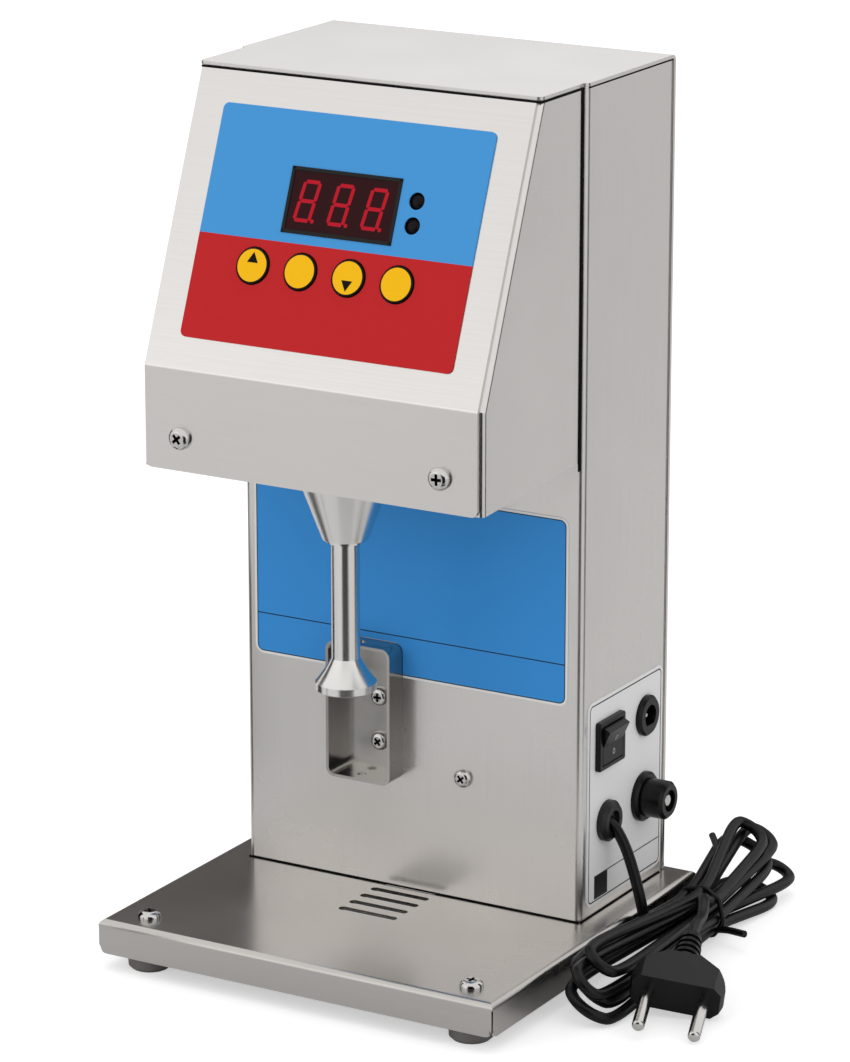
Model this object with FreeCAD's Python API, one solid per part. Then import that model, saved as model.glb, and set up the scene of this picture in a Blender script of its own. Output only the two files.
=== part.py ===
"""Ultrasonic stirrer: a bent-sheet bench instrument with a horn above its base.

Millimetres. The origin is on the table, under the middle of the base.
X points to the right, Y to the back and Z up.
"""

import FreeCAD, Part
import math
import os

V = FreeCAD.Vector

# Sheet metal
sheet = 1.2               # thickness of the folded sheet
bend = 2.0                # outer radius of a fold
flange = 12.0             # width of a flange that is turned inwards
fit = 0.2                 # gap around a piece that passes through a sheet

# Base
base_width = 144.0
base_depth = 136.0
skirt = 11.0              # height of the folded edge
skirt_clear = 5.5         # height of the skirt's lower edge above the table
skirt_corner = 3.0        # rounding of the skirt's lower corners
seam = 0.5                # open seam where two skirts meet
slot_count = 9
slot_length = 21.3
slot_width = 3.0
slot_pitch = 6.7
slot_x = -0.8
slot_first_y = -20.0

# Feet
foot_radius = 7.6
foot_tip_radius = 7.0
foot_edge = 1.0
foot_inset_x = 13.0       # front feet, from the side of the base
foot_inset_y = 10.0       # front feet, from the front of the base
rear_foot_inset_x = 8.0   # rear feet, from the column's wall
rear_foot_inset_y = 7.0   # rear feet, from the column's back
foot_pocket_radius = 4.8
foot_pocket_depth = 8.0

# Screws: radius of the head, height of the head, radius of the shank
m4_head = 3.75
m4_head_height = 2.4
m4_shank = 2.0
m3_head = 3.1
m3_head_height = 2.0
m3_shank = 1.5
thread_fit = 0.05         # gap between a shank and the nut around it
foot_screw_length = 14.0
short_screw_length = 6.0
nut_flats = 7.0           # M4 nut, across the flats
nut_height = 3.2

# Column
column_width = 124.0
column_depth = 58.0       # with the rear cover
column_setback = 4.0      # from the back of the base to the rear cover
body_height = 270.0       # from the base to the top of the lid
cable_width = 60.0        # opening between the column and the head
cable_height = 30.0
cable_z = 235.0

# Head
head_width = 121.0
lid_reach = 26.0          # from the column's front to the top edge of the slope
head_reach = 61.5         # from the column's front to the apron
slope_foot = 181.0        # height of the fold between slope and apron, above the base
apron_foot = 148.5        # height of the apron's lower edge, above the base
cheek_rise = 3.0          # the cheeks' lower edge rises by this towards the column
cover_margin = 1.5        # the front cover is this much narrower than the head, each side
cover_corner = 2.0
cover_flange = 10.0
crossbar = 16.0           # flange behind the apron, from the apron's lower edge
lid_gap = 0.3             # between the lid's underside and the front cover
apron_screw_x = 46.2
apron_screw_drop = 21.8   # from the fold down to the screws
floor_thickness = 2.0
floor_height = 151.5      # underside of the head's floor, above the base
floor_flange = 9.0

# Control panel, measured down the slope from its top edge
overlay_width = 96.3
overlay_height = 73.6
overlay_top = 12.0
overlay_corner = 2.0
overlay_thickness = 0.5
display_width = 39.0
display_height = 20.7
display_drop = 39.5
display_rim = 0.7         # the window rests on this much of the cover, all round
module_thickness = 8.0
module_recess = 0.2       # from the cover's outer face down to the module
lamp_radius = 2.5
lamp_flange = 2.9
lamp_height = 8.6
lamp_x = 25.4
lamp_drops = (35.4, 43.0)
key_radius = 5.7
key_gap = 0.3
key_pitch = 17.0
key_row_x = -1.4
key_drop = 61.2
key_proud = 0.7           # above the overlay
key_flange = 1.1          # the retaining flange is this much wider than the hole
key_flange_height = 1.0
key_play = 0.1
key_travel = 0.4
key_stem = 2.2
switch_side = 6.0
switch_height = 3.5
plunger_radius = 1.7
plunger_height = 1.5
board_thickness = 1.6
spacer_length = 10.0
spacer_radius = 2.8
control_board_width = 92.0
control_board_height = 60.0
control_board_drop = 13.0
spacer_inset = 4.0

# Labels
label_thickness = 0.3
label_corner = 3.0
front_label_width = 115.3
front_label_height = 61.5
front_label_x = -0.7
front_label_z = 71.5      # lower edge, above the base
label_notch = 0.15        # gap around the bracket
side_label_y = 3.9        # from the column's front
side_label_width = 50.7
side_label_z = 3.3
side_label_height = 68.4
column_screw_x = 19.4
column_screw_z = 41.4

# Bracket on the column's front
bracket_x = -14.9
bracket_z = 36.9
bracket_width = 23.8
bracket_height = 45.8
bracket_depth = 8.5
bracket_sheet = 1.0
bracket_corner = 3.0
bracket_hole = 1.5
bracket_hole_x = -15.9
bracket_screw_x = -10.8
bracket_screw_z = (49.2, 64.2)

# Rocker switch; places on the side are (from the column's front, above the base)
switch_at = (17.4, 56.2)
bezel_width = 17.3
bezel_height = 16.2
bezel_thickness = 1.8
bezel_corner = 1.0
switch_body_width = 15.6
switch_body_height = 14.6
switch_body_depth = 14.0
rocker_radius = 6.3
rocker_width = 13.2
rocker_gap = 0.3
rocker_edge = 2.6         # height of the rocker's two ends above its pivot
rocker_dish = 1.3
rocker_tilt = 12.0        # to each side of the middle
rocker_pivot = 0.5        # pivot line, above the bezel's back
pivot_radius = 1.0
pivot_length = 0.5
pivot_fit = 0.05
blade_width = 4.8
blade_thickness = 0.8
blade_length = 7.0

# Probe socket
socket_at = (42.7, 57.5)
socket_flange = 6.75
socket_flange_height = 2.0
socket_neck = 5.5
socket_depth = 12.0
socket_bore = 3.7
socket_bore_depth = 9.0
socket_flat = 2.9         # from the axis to the flat side of the bore
socket_pin_radius = 1.2
socket_pin_length = 7.5
side_nut_height = 2.5
side_nut_margin = 3.0

# Fuse holder
fuse_at = (41.5, 30.4)
fuse_flange = 8.2
fuse_flange_height = 2.2
fuse_neck = 6.0
fuse_depth = 30.0
fuse_contact_radius = 4.5
fuse_contact_length = 8.0
fuse_cap_radius = 6.3
fuse_cap_length = 7.8
fuse_cap_recess = 3.6
fuse_cap_recess_depth = 1.2
fuse_stem_radius = 4.0
fuse_stem_length = 7.0
fuse_running_fit = 0.08
fuse_radius = 2.5
fuse_length = 20.0
fuse_grip = 3.0           # length of the fuse inside the cap's stem
fuse_end_cap = 5.5        # length of the metal cap on each end of the fuse
fuse_slot = 1.4

# Cord gland
gland_at = (16.7, 29.8)
gland_radius = 6.7
gland_height = 3.0
gland_neck = 5.2
gland_collar = 6.4
gland_collar_height = 2.0
gland_edge = 1.2
gland_recess = 3.6        # radius of the mouth around the cord
gland_recess_depth = 1.4

# Cord and plug
cord_radius = 1.85
plug_width = 30.2
plug_height = 11.6
plug_chamfer = 3.6
plug_length = 16.0
plug_waist = 10.0
plug_taper = 1.2
plug_side_round = 6.0
plug_shoulder_round = 7.0
neck_base_radius = 5.0
neck_tip_radius = 3.2
neck_length = 16.0
neck_ribs = 4
neck_rib_depth = 0.9
pin_radius = 2.0
pin_length = 19.0
pin_root = 7.0            # length of a pin inside the body
pin_tip_round = 1.4
pin_spacing = 17.4
plug_place = V(107.4, -15.6, 8.2)
plug_turn = 18.0
plug_pitch = 14.0
plug_roll = 8.0
cord_route = [
    V(58.5, 22.6, 48.2),
    V(64.3, 22.8, 46.0),
    V(68.6, 23.3, 39.4),
    V(71.6, 23.7, 31.0),
    V(73.5, 23.3, 22.5),
    V(75.6, 20.4, 14.5),
]
plug_lead_route = [
    V(81.5, 58.0, 11.5),
    V(86.2, 48.0, 14.6),
    V(91.2, 36.5, 17.6),
]
plug_lead_run = 8.0       # straight run out of the neck
hank_sections = [
    # y, middle x, middle z, half width, half height
    (-31.0, 83.2, 7.0, 4.8, 4.4),
    (-24.0, 82.6, 8.8, 8.0, 8.0),
    (-10.0, 82.2, 10.4, 8.2, 9.8),
    (20.0, 81.6, 10.6, 8.2, 10.2),
    (50.0, 82.2, 10.4, 8.0, 8.8),
    (60.0, 82.2, 10.2, 7.8, 8.2),
    (68.0, 81.6, 10.6, 8.2, 8.6),
    (86.0, 79.0, 14.0, 10.4, 12.0),
    (99.0, 78.2, 15.4, 8.5, 10.0),
    (105.0, 78.0, 15.6, 4.6, 5.0),
]
tie_section_index = 5     # the hank's section that the tie goes round
tie_width = 3.0
tie_thickness = 1.0
tie_gap = 0.4
tie_angle_low = -30.0     # where the two ends leave the band
tie_angle_high = 100.0
tie_tail_low = V(9.0, -1.5, -3.5)
tie_tail_high = V(1.0, 8.0, 10.0)

# Horn and transducer
horn_reach = 40.0         # from the column's front to the axis
horn_tip_z = 96.0
horn_rim_radius = 9.65
horn_rim_height = 2.6
horn_edge = 0.4
horn_flare_height = 7.8
horn_flare_sag = 0.3      # the flare's side curves in by this
horn_rod_radius = 4.5
horn_rod_top = 144.0
horn_collar_radius = 6.0
horn_collar_height = 1.0
horn_cone_radius = 7.25
horn_body_radius = 15.0
horn_body_z = 165.5
horn_flange_radius = 22.0
horn_flange_height = 4.0
horn_flange_flat = 17.2   # from the axis to the flange's front and rear flats
horn_screw_circle = 18.5
horn_upper_height = 5.0
piezo_radius = 14.0
piezo_bore = 6.0
piezo_height = 4.5
piezo_count = 2
back_mass_height = 16.0
bolt_radius = 4.0
bolt_head_radius = 6.5
bolt_head_height = 5.0
bolt_depth = 12.0

# Inside the column
core_x = -30.0
core_inset = 34.0         # from the column's front to the middle of the core
core_stack = 16.0
core_width = 40.0
core_height = 34.0
core_limb = 6.7
winding_width = 30.0
winding_margin = 0.2
driver_board_width = 44.0
driver_board_height = 90.0
driver_board_inset = 29.0
driver_board_z = 90.0
sink_width = 30.0
sink_height = 50.0
sink_depth = 20.0
sink_base = 3.0
sink_fins = 6
sink_fin = 1.5

# Values that follow from the sizes above
base_top = skirt_clear + skirt
body_top = base_top + body_height
column_front = base_depth / 2 - column_setback - column_depth
column_back = base_depth / 2 - column_setback
column_side = column_width / 2
column_inner = column_side - sheet
head_side = head_width / 2
slope_top_y = column_front - lid_reach
apron_y = column_front - head_reach
fold_z = base_top + slope_foot
horn_y = column_front - horn_reach
core_y = column_front + core_inset
driver_board_y = column_front + driver_board_inset
apron_z = base_top + apron_foot
floor_z = base_top + floor_height
side_face = column_side + label_thickness
slope_length = math.hypot(slope_top_y - apron_y, body_top - fold_z)
slope_cos = (body_top - fold_z) / slope_length
slope_sin = (slope_top_y - apron_y) / slope_length
board_face = -(sheet + spacer_length)


def block(x0, x1, y0, y1, z0, z1):
    """Box between two corners."""
    return Part.makeBox(x1 - x0, y1 - y0, z1 - z0, V(x0, y0, z0))


def rounded_wire(points, radii, closed=True):
    """Straight runs through the points, with a tangent arc at each corner that has a radius."""
    count = len(points)
    entries = []
    exits = []
    arcs = []
    for i, corner in enumerate(points):
        radius = radii[i]
        inner = closed or 0 < i < count - 1
        if radius <= 0 or not inner:
            entries.append(corner)
            exits.append(corner)
            arcs.append(None)
            continue
        back = (points[i - 1] - corner).normalize()
        ahead = (points[(i + 1) % count] - corner).normalize()
        half = back.getAngle(ahead) / 2
        middle = (back + ahead).normalize()
        reach = radius / math.tan(half)
        entry = corner + back * reach
        leave = corner + ahead * reach
        top = corner + middle * (radius / math.sin(half) - radius)
        entries.append(entry)
        exits.append(leave)
        arcs.append(Part.Arc(entry, top, leave))
    edges = []
    for i in range(count):
        if arcs[i] is not None:
            edges.append(arcs[i].toShape())
        following = (i + 1) % count
        if following == 0 and not closed:
            break
        start, end = exits[i], entries[following]
        if start.distanceToPoint(end) > 1e-6:
            edges.append(Part.LineSegment(start, end).toShape())
    return Part.Wire(edges)


def prism(points, radii, along):
    """Solid that carries an outline along a vector."""
    return Part.Face(rounded_wire(points, radii)).extrude(along)


def rectangle(x0, x1, y0, y1, z=0.0):
    return [V(x0, y0, z), V(x1, y0, z), V(x1, y1, z), V(x0, y1, z)]


def plate(x, y, width, height, z0, z1, corner=0.0):
    """Upright plate with rounded corners, centred at x and y."""
    outline = rectangle(x - width / 2, x + width / 2, y - height / 2, y + height / 2, z0)
    return prism(outline, [corner] * 4, V(0, 0, z1 - z0))


def disc(radius, x, y, z0, z1):
    return Part.makeCylinder(radius, z1 - z0, V(x, y, z0))


def turned(profile, x=0.0, y=0.0):
    """Solid of revolution about a vertical axis, from (radius, height) points."""
    points = [V(radius, 0, height) for radius, height in profile]
    edges = [Part.LineSegment(a, b).toShape() for a, b in zip(points, points[1:] + points[:1])]
    solid = Part.Face(Part.Wire(edges)).revolve(V(0, 0, 0), V(0, 0, 1), 360)
    solid.translate(V(x, y, 0))
    return solid


def hexagon(across, x, y, z0, z1):
    """Six-sided prism, given across its flats."""
    corner = across / math.sqrt(3)
    points = [
        V(x + corner * math.cos(math.radians(60 * i)), y + corner * math.sin(math.radians(60 * i)), z0)
        for i in range(6)
    ]
    return prism(points, [0] * 6, V(0, 0, z1 - z0))


def placed(shape, x_axis, y_axis, z_axis, origin):
    """Move a shape from a local frame to the instrument's frame."""
    turn = FreeCAD.Rotation(x_axis, y_axis, z_axis, "ZXY")
    moved = shape.copy()
    moved.Placement = FreeCAD.Placement(origin, turn).multiply(moved.Placement)
    return moved


def on_slope(shape):
    """Local y runs up the slope from its top edge and z points out of it."""
    up = V(0, slope_sin, slope_cos)
    out = V(0, -slope_cos, slope_sin)
    return placed(shape, V(1, 0, 0), up, out, V(0, slope_top_y, body_top))


def on_front(shape, y=None):
    """Local y is height and z points out of the column's front wall."""
    origin = V(0, column_front if y is None else y, 0)
    return placed(shape, V(1, 0, 0), V(0, 0, 1), V(0, -1, 0), origin)


def on_side(shape, place, x):
    """Local z points out of the right wall; the origin is a place on that wall."""
    origin = V(x, column_front + place[0], base_top + place[1])
    return placed(shape, V(0, 1, 0), V(0, 0, 1), V(1, 0, 0), origin)


def on_back(shape):
    """Local x runs to the left, y is height and z points out of the rear cover."""
    return placed(shape, V(-1, 0, 0), V(0, 0, 1), V(0, 1, 0), V(0, column_back, 0))


def upside_down(shape, z):
    """Turn a shape over, so that its local z points down from a height."""
    return placed(shape, V(1, 0, 0), V(0, -1, 0), V(0, 0, -1), V(0, 0, z))


def pan_screw(head, head_height, shank, length, x=0.0, y=0.0):
    """Screw with a domed head on z = 0 and its shank below."""
    profile = [
        (0, -length),
        (shank - 0.4, -length),
        (shank, -length + 0.4),
        (shank, 0),
        (head, 0),
        (head, 0.45 * head_height),
        (0.86 * head, 0.78 * head_height),
        (0.6 * head, head_height),
        (0, head_height),
    ]
    return turned(profile, x, y)


def m4_screw(length, x=0.0, y=0.0):
    return pan_screw(m4_head, m4_head_height, m4_shank, length, x, y)


def m3_screw(length, x=0.0, y=0.0):
    return pan_screw(m3_head, m3_head_height, m3_shank, length, x, y)


def joined(shapes):
    """Union of solids that touch or overlap."""
    return shapes[0].fuse(shapes[1:]).removeSplitter()


def straight_edges(shape, chosen):
    return [edge for edge in shape.Edges if chosen(edge.CenterOfMass, edge.BoundBox)]


# Places that several pieces share
def foot_places():
    """Front feet first: x, y and the height of the sheet under the screw's head."""
    front_x = base_width / 2 - foot_inset_x
    front_y = foot_inset_y - base_depth / 2
    rear_x = column_side - rear_foot_inset_x
    rear_y = column_back - rear_foot_inset_y
    return [
        (-front_x, front_y, base_top),
        (front_x, front_y, base_top),
        (-rear_x, rear_y, base_top + sheet),
        (rear_x, rear_y, base_top + sheet),
    ]


def column_screw_places():
    inset = column_side - flange / 2
    return [(-inset, column_front + flange / 2 + sheet), (inset, column_front + flange / 2 + sheet)]


def rear_screw_places():
    """x and z of the rear cover's screws."""
    inset = column_side - flange / 2
    low = base_top + 2 * flange
    high = body_top - 2 * flange
    return [(x, z) for x in (-inset, inset) for z in (low, (low + high) / 2, high)]


def head_screw_places():
    """x and z of the screws between the head and the column."""
    inset = head_side - flange
    low = floor_z + 1.5 * flange
    high = body_top - 2 * flange
    return [(x, z) for x in (-inset, inset) for z in (low, high)]


def key_places():
    first = key_row_x - 1.5 * key_pitch
    return [(first + i * key_pitch, -key_drop) for i in range(4)]


def lamp_places():
    return [(lamp_x, -drop) for drop in lamp_drops]


def control_spacer_places():
    x = control_board_width / 2 - spacer_inset
    top = -(control_board_drop + spacer_inset)
    bottom = -(control_board_drop + control_board_height - spacer_inset)
    return [(-x, top), (x, top), (-x, bottom), (x, bottom)]


def driver_spacer_places():
    """y and z of the spacers on the left wall."""
    y = driver_board_width / 2 - spacer_inset
    low = driver_board_z + spacer_inset
    high = driver_board_z + driver_board_height - spacer_inset
    return [(driver_board_y + side * y, z) for side in (-1, 1) for z in (low, high)]


def horn_screw_places():
    reach = horn_screw_circle / math.sqrt(2)
    return [(sx * reach, horn_y + sy * reach) for sx in (-1, 1) for sy in (-1, 1)]


# Base
def base_shell():
    half_x = base_width / 2
    half_y = base_depth / 2
    outer = block(-half_x, half_x, -half_y, half_y, skirt_clear, base_top)
    rims = straight_edges(outer, lambda c, b: abs(c.z - base_top) < 0.01)
    outer = outer.makeFillet(bend, rims)
    inner = block(
        -half_x + sheet, half_x - sheet, -half_y + sheet, half_y - sheet, skirt_clear - 1, base_top - sheet
    )
    inner_rims = straight_edges(inner, lambda c, b: abs(c.z - base_top + sheet) < 0.01)
    return outer.cut(inner.makeFillet(bend - sheet, inner_rims))


def skirt_rounding():
    """What the lower corners of the four skirts lose."""
    half_x = base_width / 2
    half_y = base_depth / 2
    radii = [skirt_corner, skirt_corner, 0, 0]
    side = [
        V(-half_x, -half_y, skirt_clear),
        V(-half_x, half_y, skirt_clear),
        V(-half_x, half_y, base_top + 1),
        V(-half_x, -half_y, base_top + 1),
    ]
    front = [
        V(-half_x, -half_y, skirt_clear),
        V(half_x, -half_y, skirt_clear),
        V(half_x, -half_y, base_top + 1),
        V(-half_x, -half_y, base_top + 1),
    ]
    side_keep = prism(side, radii, V(base_width, 0, 0))
    front_keep = prism(front, radii, V(0, base_depth, 0))
    full = block(-half_x, half_x, -half_y, half_y, skirt_clear, base_top)
    hollow_y = block(-half_x + sheet, half_x - sheet, -half_y, half_y, skirt_clear, base_top)
    hollow_x = block(-half_x, half_x, -half_y + sheet, half_y - sheet, skirt_clear, base_top)
    return [full.cut(side_keep).cut(hollow_y), full.cut(front_keep).cut(hollow_x)]


def corner_seams():
    """Narrow cuts on the diagonals, where two skirts meet."""
    seams = []
    for sx in (-1, 1):
        for sy in (-1, 1):
            cut = block(-seam / 2, seam / 2, -2 * bend, 2 * bend, skirt_clear - 1, base_top - bend)
            cut.rotate(V(0, 0, 0), V(0, 0, 1), 45 * sx * sy)
            cut.rotate(V(0, 0, 0), V(0, 0, 1), 90)
            cut.translate(V(sx * base_width / 2, sy * base_depth / 2, 0))
            seams.append(cut)
    return seams


def vent_slots():
    slots = []
    for i in range(slot_count):
        y = slot_first_y + i * slot_pitch
        end = slot_width / 2 - 0.01
        slots.append(plate(slot_x, y, slot_length, slot_width, base_top - 2 * sheet, base_top + 1, end))
    return slots


def base_tray():
    cutters = skirt_rounding() + corner_seams() + vent_slots()
    for x, y, _ in foot_places():
        cutters.append(disc(m4_shank + fit, x, y, base_top - 2 * sheet, base_top + 1))
    for x, y in column_screw_places():
        cutters.append(disc(m3_shank + fit, x, y, base_top - 2 * sheet, base_top + 1))
    return base_shell().cut(cutters)


def foot(x, y):
    top = base_top - sheet
    profile = [
        (m4_shank + fit, top),
        (foot_radius, top),
        (foot_tip_radius, foot_edge),
        (foot_tip_radius - foot_edge, 0),
        (foot_pocket_radius, 0),
        (foot_pocket_radius, foot_pocket_depth),
        (m4_shank + fit, foot_pocket_depth),
    ]
    return turned(profile, x, y)


def foot_screw_set():
    return [m4_screw_at(foot_screw_length, x, y, z) for x, y, z in foot_places()]


def m4_screw_at(length, x, y, z):
    screw = m4_screw(length, x, y)
    screw.translate(V(0, 0, z))
    return screw


def foot_nut_set():
    nuts = []
    for x, y, _ in foot_places():
        nut = hexagon(nut_flats, x, y, foot_pocket_depth - nut_height, foot_pocket_depth)
        nuts.append(nut.cut(disc(m4_shank + thread_fit, x, y, 0, foot_pocket_depth + 1)))
    return nuts


# Column
def column_outline(inset, back):
    side = column_side - inset
    return rectangle(-side, side, column_front + inset, back, base_top)


def side_openings():
    """What passes through the right wall."""
    body = plate(0, 0, switch_body_width + 2 * fit, switch_body_height + 2 * fit, -2 * sheet, 2 * sheet)
    neck = disc(socket_neck + fit, 0, 0, -2 * sheet, 2 * sheet)
    fuse_hole = disc(fuse_neck + fit, 0, 0, -2 * sheet, 2 * sheet)
    gland_hole = disc(gland_neck + fit, 0, 0, -2 * sheet, 2 * sheet)
    return [
        on_side(body, switch_at, column_side),
        on_side(neck, socket_at, column_side),
        on_side(fuse_hole, fuse_at, column_side),
        on_side(gland_hole, gland_at, column_side),
    ]


def column_shell():
    rear = column_back - sheet
    top = body_top - sheet
    outer = prism(column_outline(0, rear), [bend] * 4, V(0, 0, top - base_top))
    inner = prism(column_outline(sheet, rear - sheet), [bend - sheet] * 4, V(0, 0, top - base_top))
    inner.translate(V(0, 0, sheet))
    opening = column_side - flange
    cutters = [
        inner,
        block(-opening, opening, rear - 2 * sheet, rear + 1, base_top - 1, top + 1),
        block(-opening, opening, column_front + flange, rear + 1, base_top - 1, base_top + 2 * sheet),
        block(-column_side, column_side, rear - (bend - sheet), rear + 1, top - (bend - sheet), top + 1),
        on_front(plate(0, cable_z, cable_width, cable_height, -2 * sheet, sheet, bend)),
    ]
    for x, y in column_screw_places():
        cutters.append(disc(m3_shank + fit, x, y, base_top - 1, base_top + 2 * sheet))
    for x, y, z in foot_places()[2:]:
        cutters.append(disc(m4_shank + fit, x, y, base_top - 1, base_top + 2 * sheet))
    for x, z in rear_screw_places():
        cutters.append(on_back(disc(m3_shank + fit, -x, z, -3 * sheet, sheet)))
    for x, z in head_screw_places():
        cutters.append(on_front(disc(m4_shank + fit, x, z, -2 * sheet, sheet)))
    for z in bracket_screw_z:
        cutters.append(on_front(disc(m3_shank + fit, bracket_screw_x, base_top + z, -2 * sheet, sheet)))
    screw_z = base_top + column_screw_z
    cutters.append(on_front(disc(m3_shank + fit, column_screw_x, screw_z, -2 * sheet, sheet)))
    return outer.cut(cutters + side_openings())


def column_base_screw_set():
    screws = []
    for x, y in column_screw_places():
        screws.append(upside_down(m3_screw(short_screw_length, x, -y), base_top - sheet))
    return screws


def lid_outline():
    """Lid from above: wide over the column, narrower over the head."""
    return [
        V(-column_side, column_back, body_top - sheet),
        V(-column_side, column_front, body_top - sheet),
        V(-head_side, column_front, body_top - sheet),
        V(-head_side, slope_top_y, body_top - sheet),
        V(head_side, slope_top_y, body_top - sheet),
        V(head_side, column_front, body_top - sheet),
        V(column_side, column_front, body_top - sheet),
        V(column_side, column_back, body_top - sheet),
    ]


def top_rear_cover():
    """Lid and rear wall, one folded sheet."""
    radii = [0, cover_corner, 0, cover_corner, cover_corner, 0, cover_corner, 0]
    lid = prism(lid_outline(), radii, V(0, 0, sheet))
    bottom = base_top + seam
    outer = [
        V(-column_side, column_back, bottom),
        V(-column_side, column_back, body_top),
        V(-column_side, column_back - 3 * bend, body_top),
        V(-column_side, column_back - 3 * bend, body_top - sheet),
        V(-column_side, column_back - sheet, body_top - sheet),
        V(-column_side, column_back - sheet, bottom),
    ]
    fold = prism(outer, [0, bend, 0, 0, bend - sheet, 0], V(column_width, 0, 0))
    rear = column_back - 3 * bend
    trim = block(-column_side, column_side, rear, column_back + 1, body_top - sheet, body_top + 1)
    cover = joined([lid.cut(trim), fold])
    holes = [on_back(disc(m3_shank + fit, -x, z, -2 * sheet, sheet)) for x, z in rear_screw_places()]
    return cover.cut(holes)


def rear_cover_screw_set():
    return [on_back(m3_screw(short_screw_length, -x, z)) for x, z in rear_screw_places()]


# Head
def slope_y(z, inset):
    """Where the slope, moved in by inset, stands at a height."""
    drop = body_top - z
    return slope_top_y - drop * slope_sin / slope_cos + inset / slope_cos


def fold_height(inset):
    """Height of the fold between slope and apron, moved in by inset."""
    travel = slope_top_y + inset / slope_cos - (apron_y + inset)
    return body_top - travel * slope_cos / slope_sin


def head_outline(inset, rear, top, bottom_front, bottom_rear, x):
    """Side view of the head inside its front cover."""
    return [
        V(x, rear, top),
        V(x, slope_y(top, inset), top),
        V(x, apron_y + inset, fold_height(inset)),
        V(x, apron_y + inset, bottom_front),
        V(x, rear, bottom_rear),
    ]


def head_shell():
    """Two cheeks with their flanges, a bar behind the apron and the rear wall."""
    top = body_top - sheet
    outline = head_outline(sheet, column_front, top, apron_z, apron_z + cheek_rise, -head_side)
    outer = prism(outline, [0, 0, bend - sheet, 0, 0], V(head_width, 0, 0))
    front_edges = straight_edges(
        outer, lambda c, b: abs(abs(c.x) - head_side) < 0.01 and c.y < slope_top_y and c.z > apron_z + 4
    )
    outer = outer.makeFillet(bend - 0.4, front_edges)
    hollow = head_outline(
        2 * sheet, column_front - sheet, top + 1, apron_z - 5, apron_z - 5, -head_side + sheet
    )
    inner = prism(hollow, [0] * 5, V(head_width - 2 * sheet, 0, 0))
    side = head_side - cover_flange
    window = block(-side, side, apron_y - 1, slope_top_y + flange, apron_z + crossbar, body_top)
    rear_window = block(
        -side, side, column_front - 2 * sheet, column_front + 1, head_screw_places()[0][1] + flange, top + 1
    )
    near, far = column_front - flange, column_front + flange
    rear_window = rear_window.cut(
        [
            block(x - flange / 2, x + flange / 2, near, far, z - flange / 2, body_top)
            for x, z in head_screw_places()
        ]
    )
    cutters = [inner, window, rear_window]
    for x, z in head_screw_places():
        cutters.append(on_front(disc(m4_shank + fit, x, z, -1, 2 * sheet)))
    for x in (-apron_screw_x, apron_screw_x):
        hole = disc(m4_shank + fit, x, fold_z - apron_screw_drop, -3 * sheet, sheet)
        cutters.append(on_front(hole, apron_y))
    return outer.cut(cutters)


def head_floor():
    """Folded plate that closes the head below and carries the horn."""
    side = head_side - sheet
    front = apron_y + 2 * sheet
    rear = column_front - sheet
    top = floor_z + floor_flange
    outer = block(-side, side, front, rear, floor_z, top)
    wall = block(
        -side + sheet, side - sheet, front + sheet, rear - sheet, floor_z + floor_thickness, top + 1
    )
    cutters = [wall, disc(horn_body_radius + 1, 0, horn_y, floor_z - 1, top)]
    for x, y in horn_screw_places():
        cutters.append(disc(m3_shank + fit, x, y, floor_z - 1, floor_z + 2 * floor_thickness))
    for x in (-apron_screw_x, apron_screw_x):
        cutters.append(on_front(disc(m4_shank + fit, x, fold_z - apron_screw_drop, -4 * sheet, 0), apron_y))
    return outer.cut(cutters)


def head_screw_set():
    face = column_front - sheet
    return [on_front(m4_screw(short_screw_length, x, z), face) for x, z in head_screw_places()]


def front_cover():
    """Slope and apron, one folded sheet, lying on the cheeks' flanges."""
    half = head_side - cover_margin
    top = body_top - sheet - lid_gap
    outline = [
        V(-half, slope_y(top, 0), top),
        V(-half, apron_y, fold_z),
        V(-half, apron_y, apron_z),
        V(-half, apron_y + sheet, apron_z),
        V(-half, apron_y + sheet, fold_height(sheet)),
        V(-half, slope_y(top, sheet), top),
    ]
    sheet_solid = prism(outline, [0, bend, 0, 0, bend - sheet, 0], V(2 * half, 0, 0))
    low = apron_z
    keep = [V(-half, 0, low), V(half, 0, low), V(half, 0, body_top), V(-half, 0, body_top)]
    keep_solid = prism(keep, [cover_corner, cover_corner, 0, 0], V(0, 2 * apron_y, 0))
    window_width = display_width - 2 * display_rim
    window_height = display_height - 2 * display_rim
    cutters = [plate(0, -display_drop, window_width, window_height, -2 * sheet, 1)]
    cutters += [disc(key_radius + key_gap, x, y, -2 * sheet, 1) for x, y in key_places()]
    cutters += [disc(lamp_radius + fit, x, y, -2 * sheet, 1) for x, y in lamp_places()]
    cutters = [on_slope(cutter) for cutter in cutters]
    for x in (-apron_screw_x, apron_screw_x):
        hole = disc(m4_shank + fit, x, fold_z - apron_screw_drop, -2 * sheet, sheet)
        cutters.append(on_front(hole, apron_y))
    return sheet_solid.common(keep_solid).cut(cutters)


def front_cover_screw_set():
    z = fold_z - apron_screw_drop
    return [on_front(m4_screw(short_screw_length, x, z), apron_y) for x in (-apron_screw_x, apron_screw_x)]


# Control panel
def control_overlay():
    middle = -(overlay_top + overlay_height / 2)
    film = plate(0, middle, overlay_width, overlay_height, 0, overlay_thickness, overlay_corner)
    cutters = [plate(0, -display_drop, display_width, display_height, -1, 1)]
    cutters += [disc(key_radius + key_gap, x, y, -1, 1) for x, y in key_places()]
    cutters += [disc(lamp_radius + fit, x, y, -1, 1) for x, y in lamp_places()]
    return on_slope(film.cut(cutters))


def display_window():
    return on_slope(plate(0, -display_drop, display_width, display_height, 0, overlay_thickness))


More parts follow.
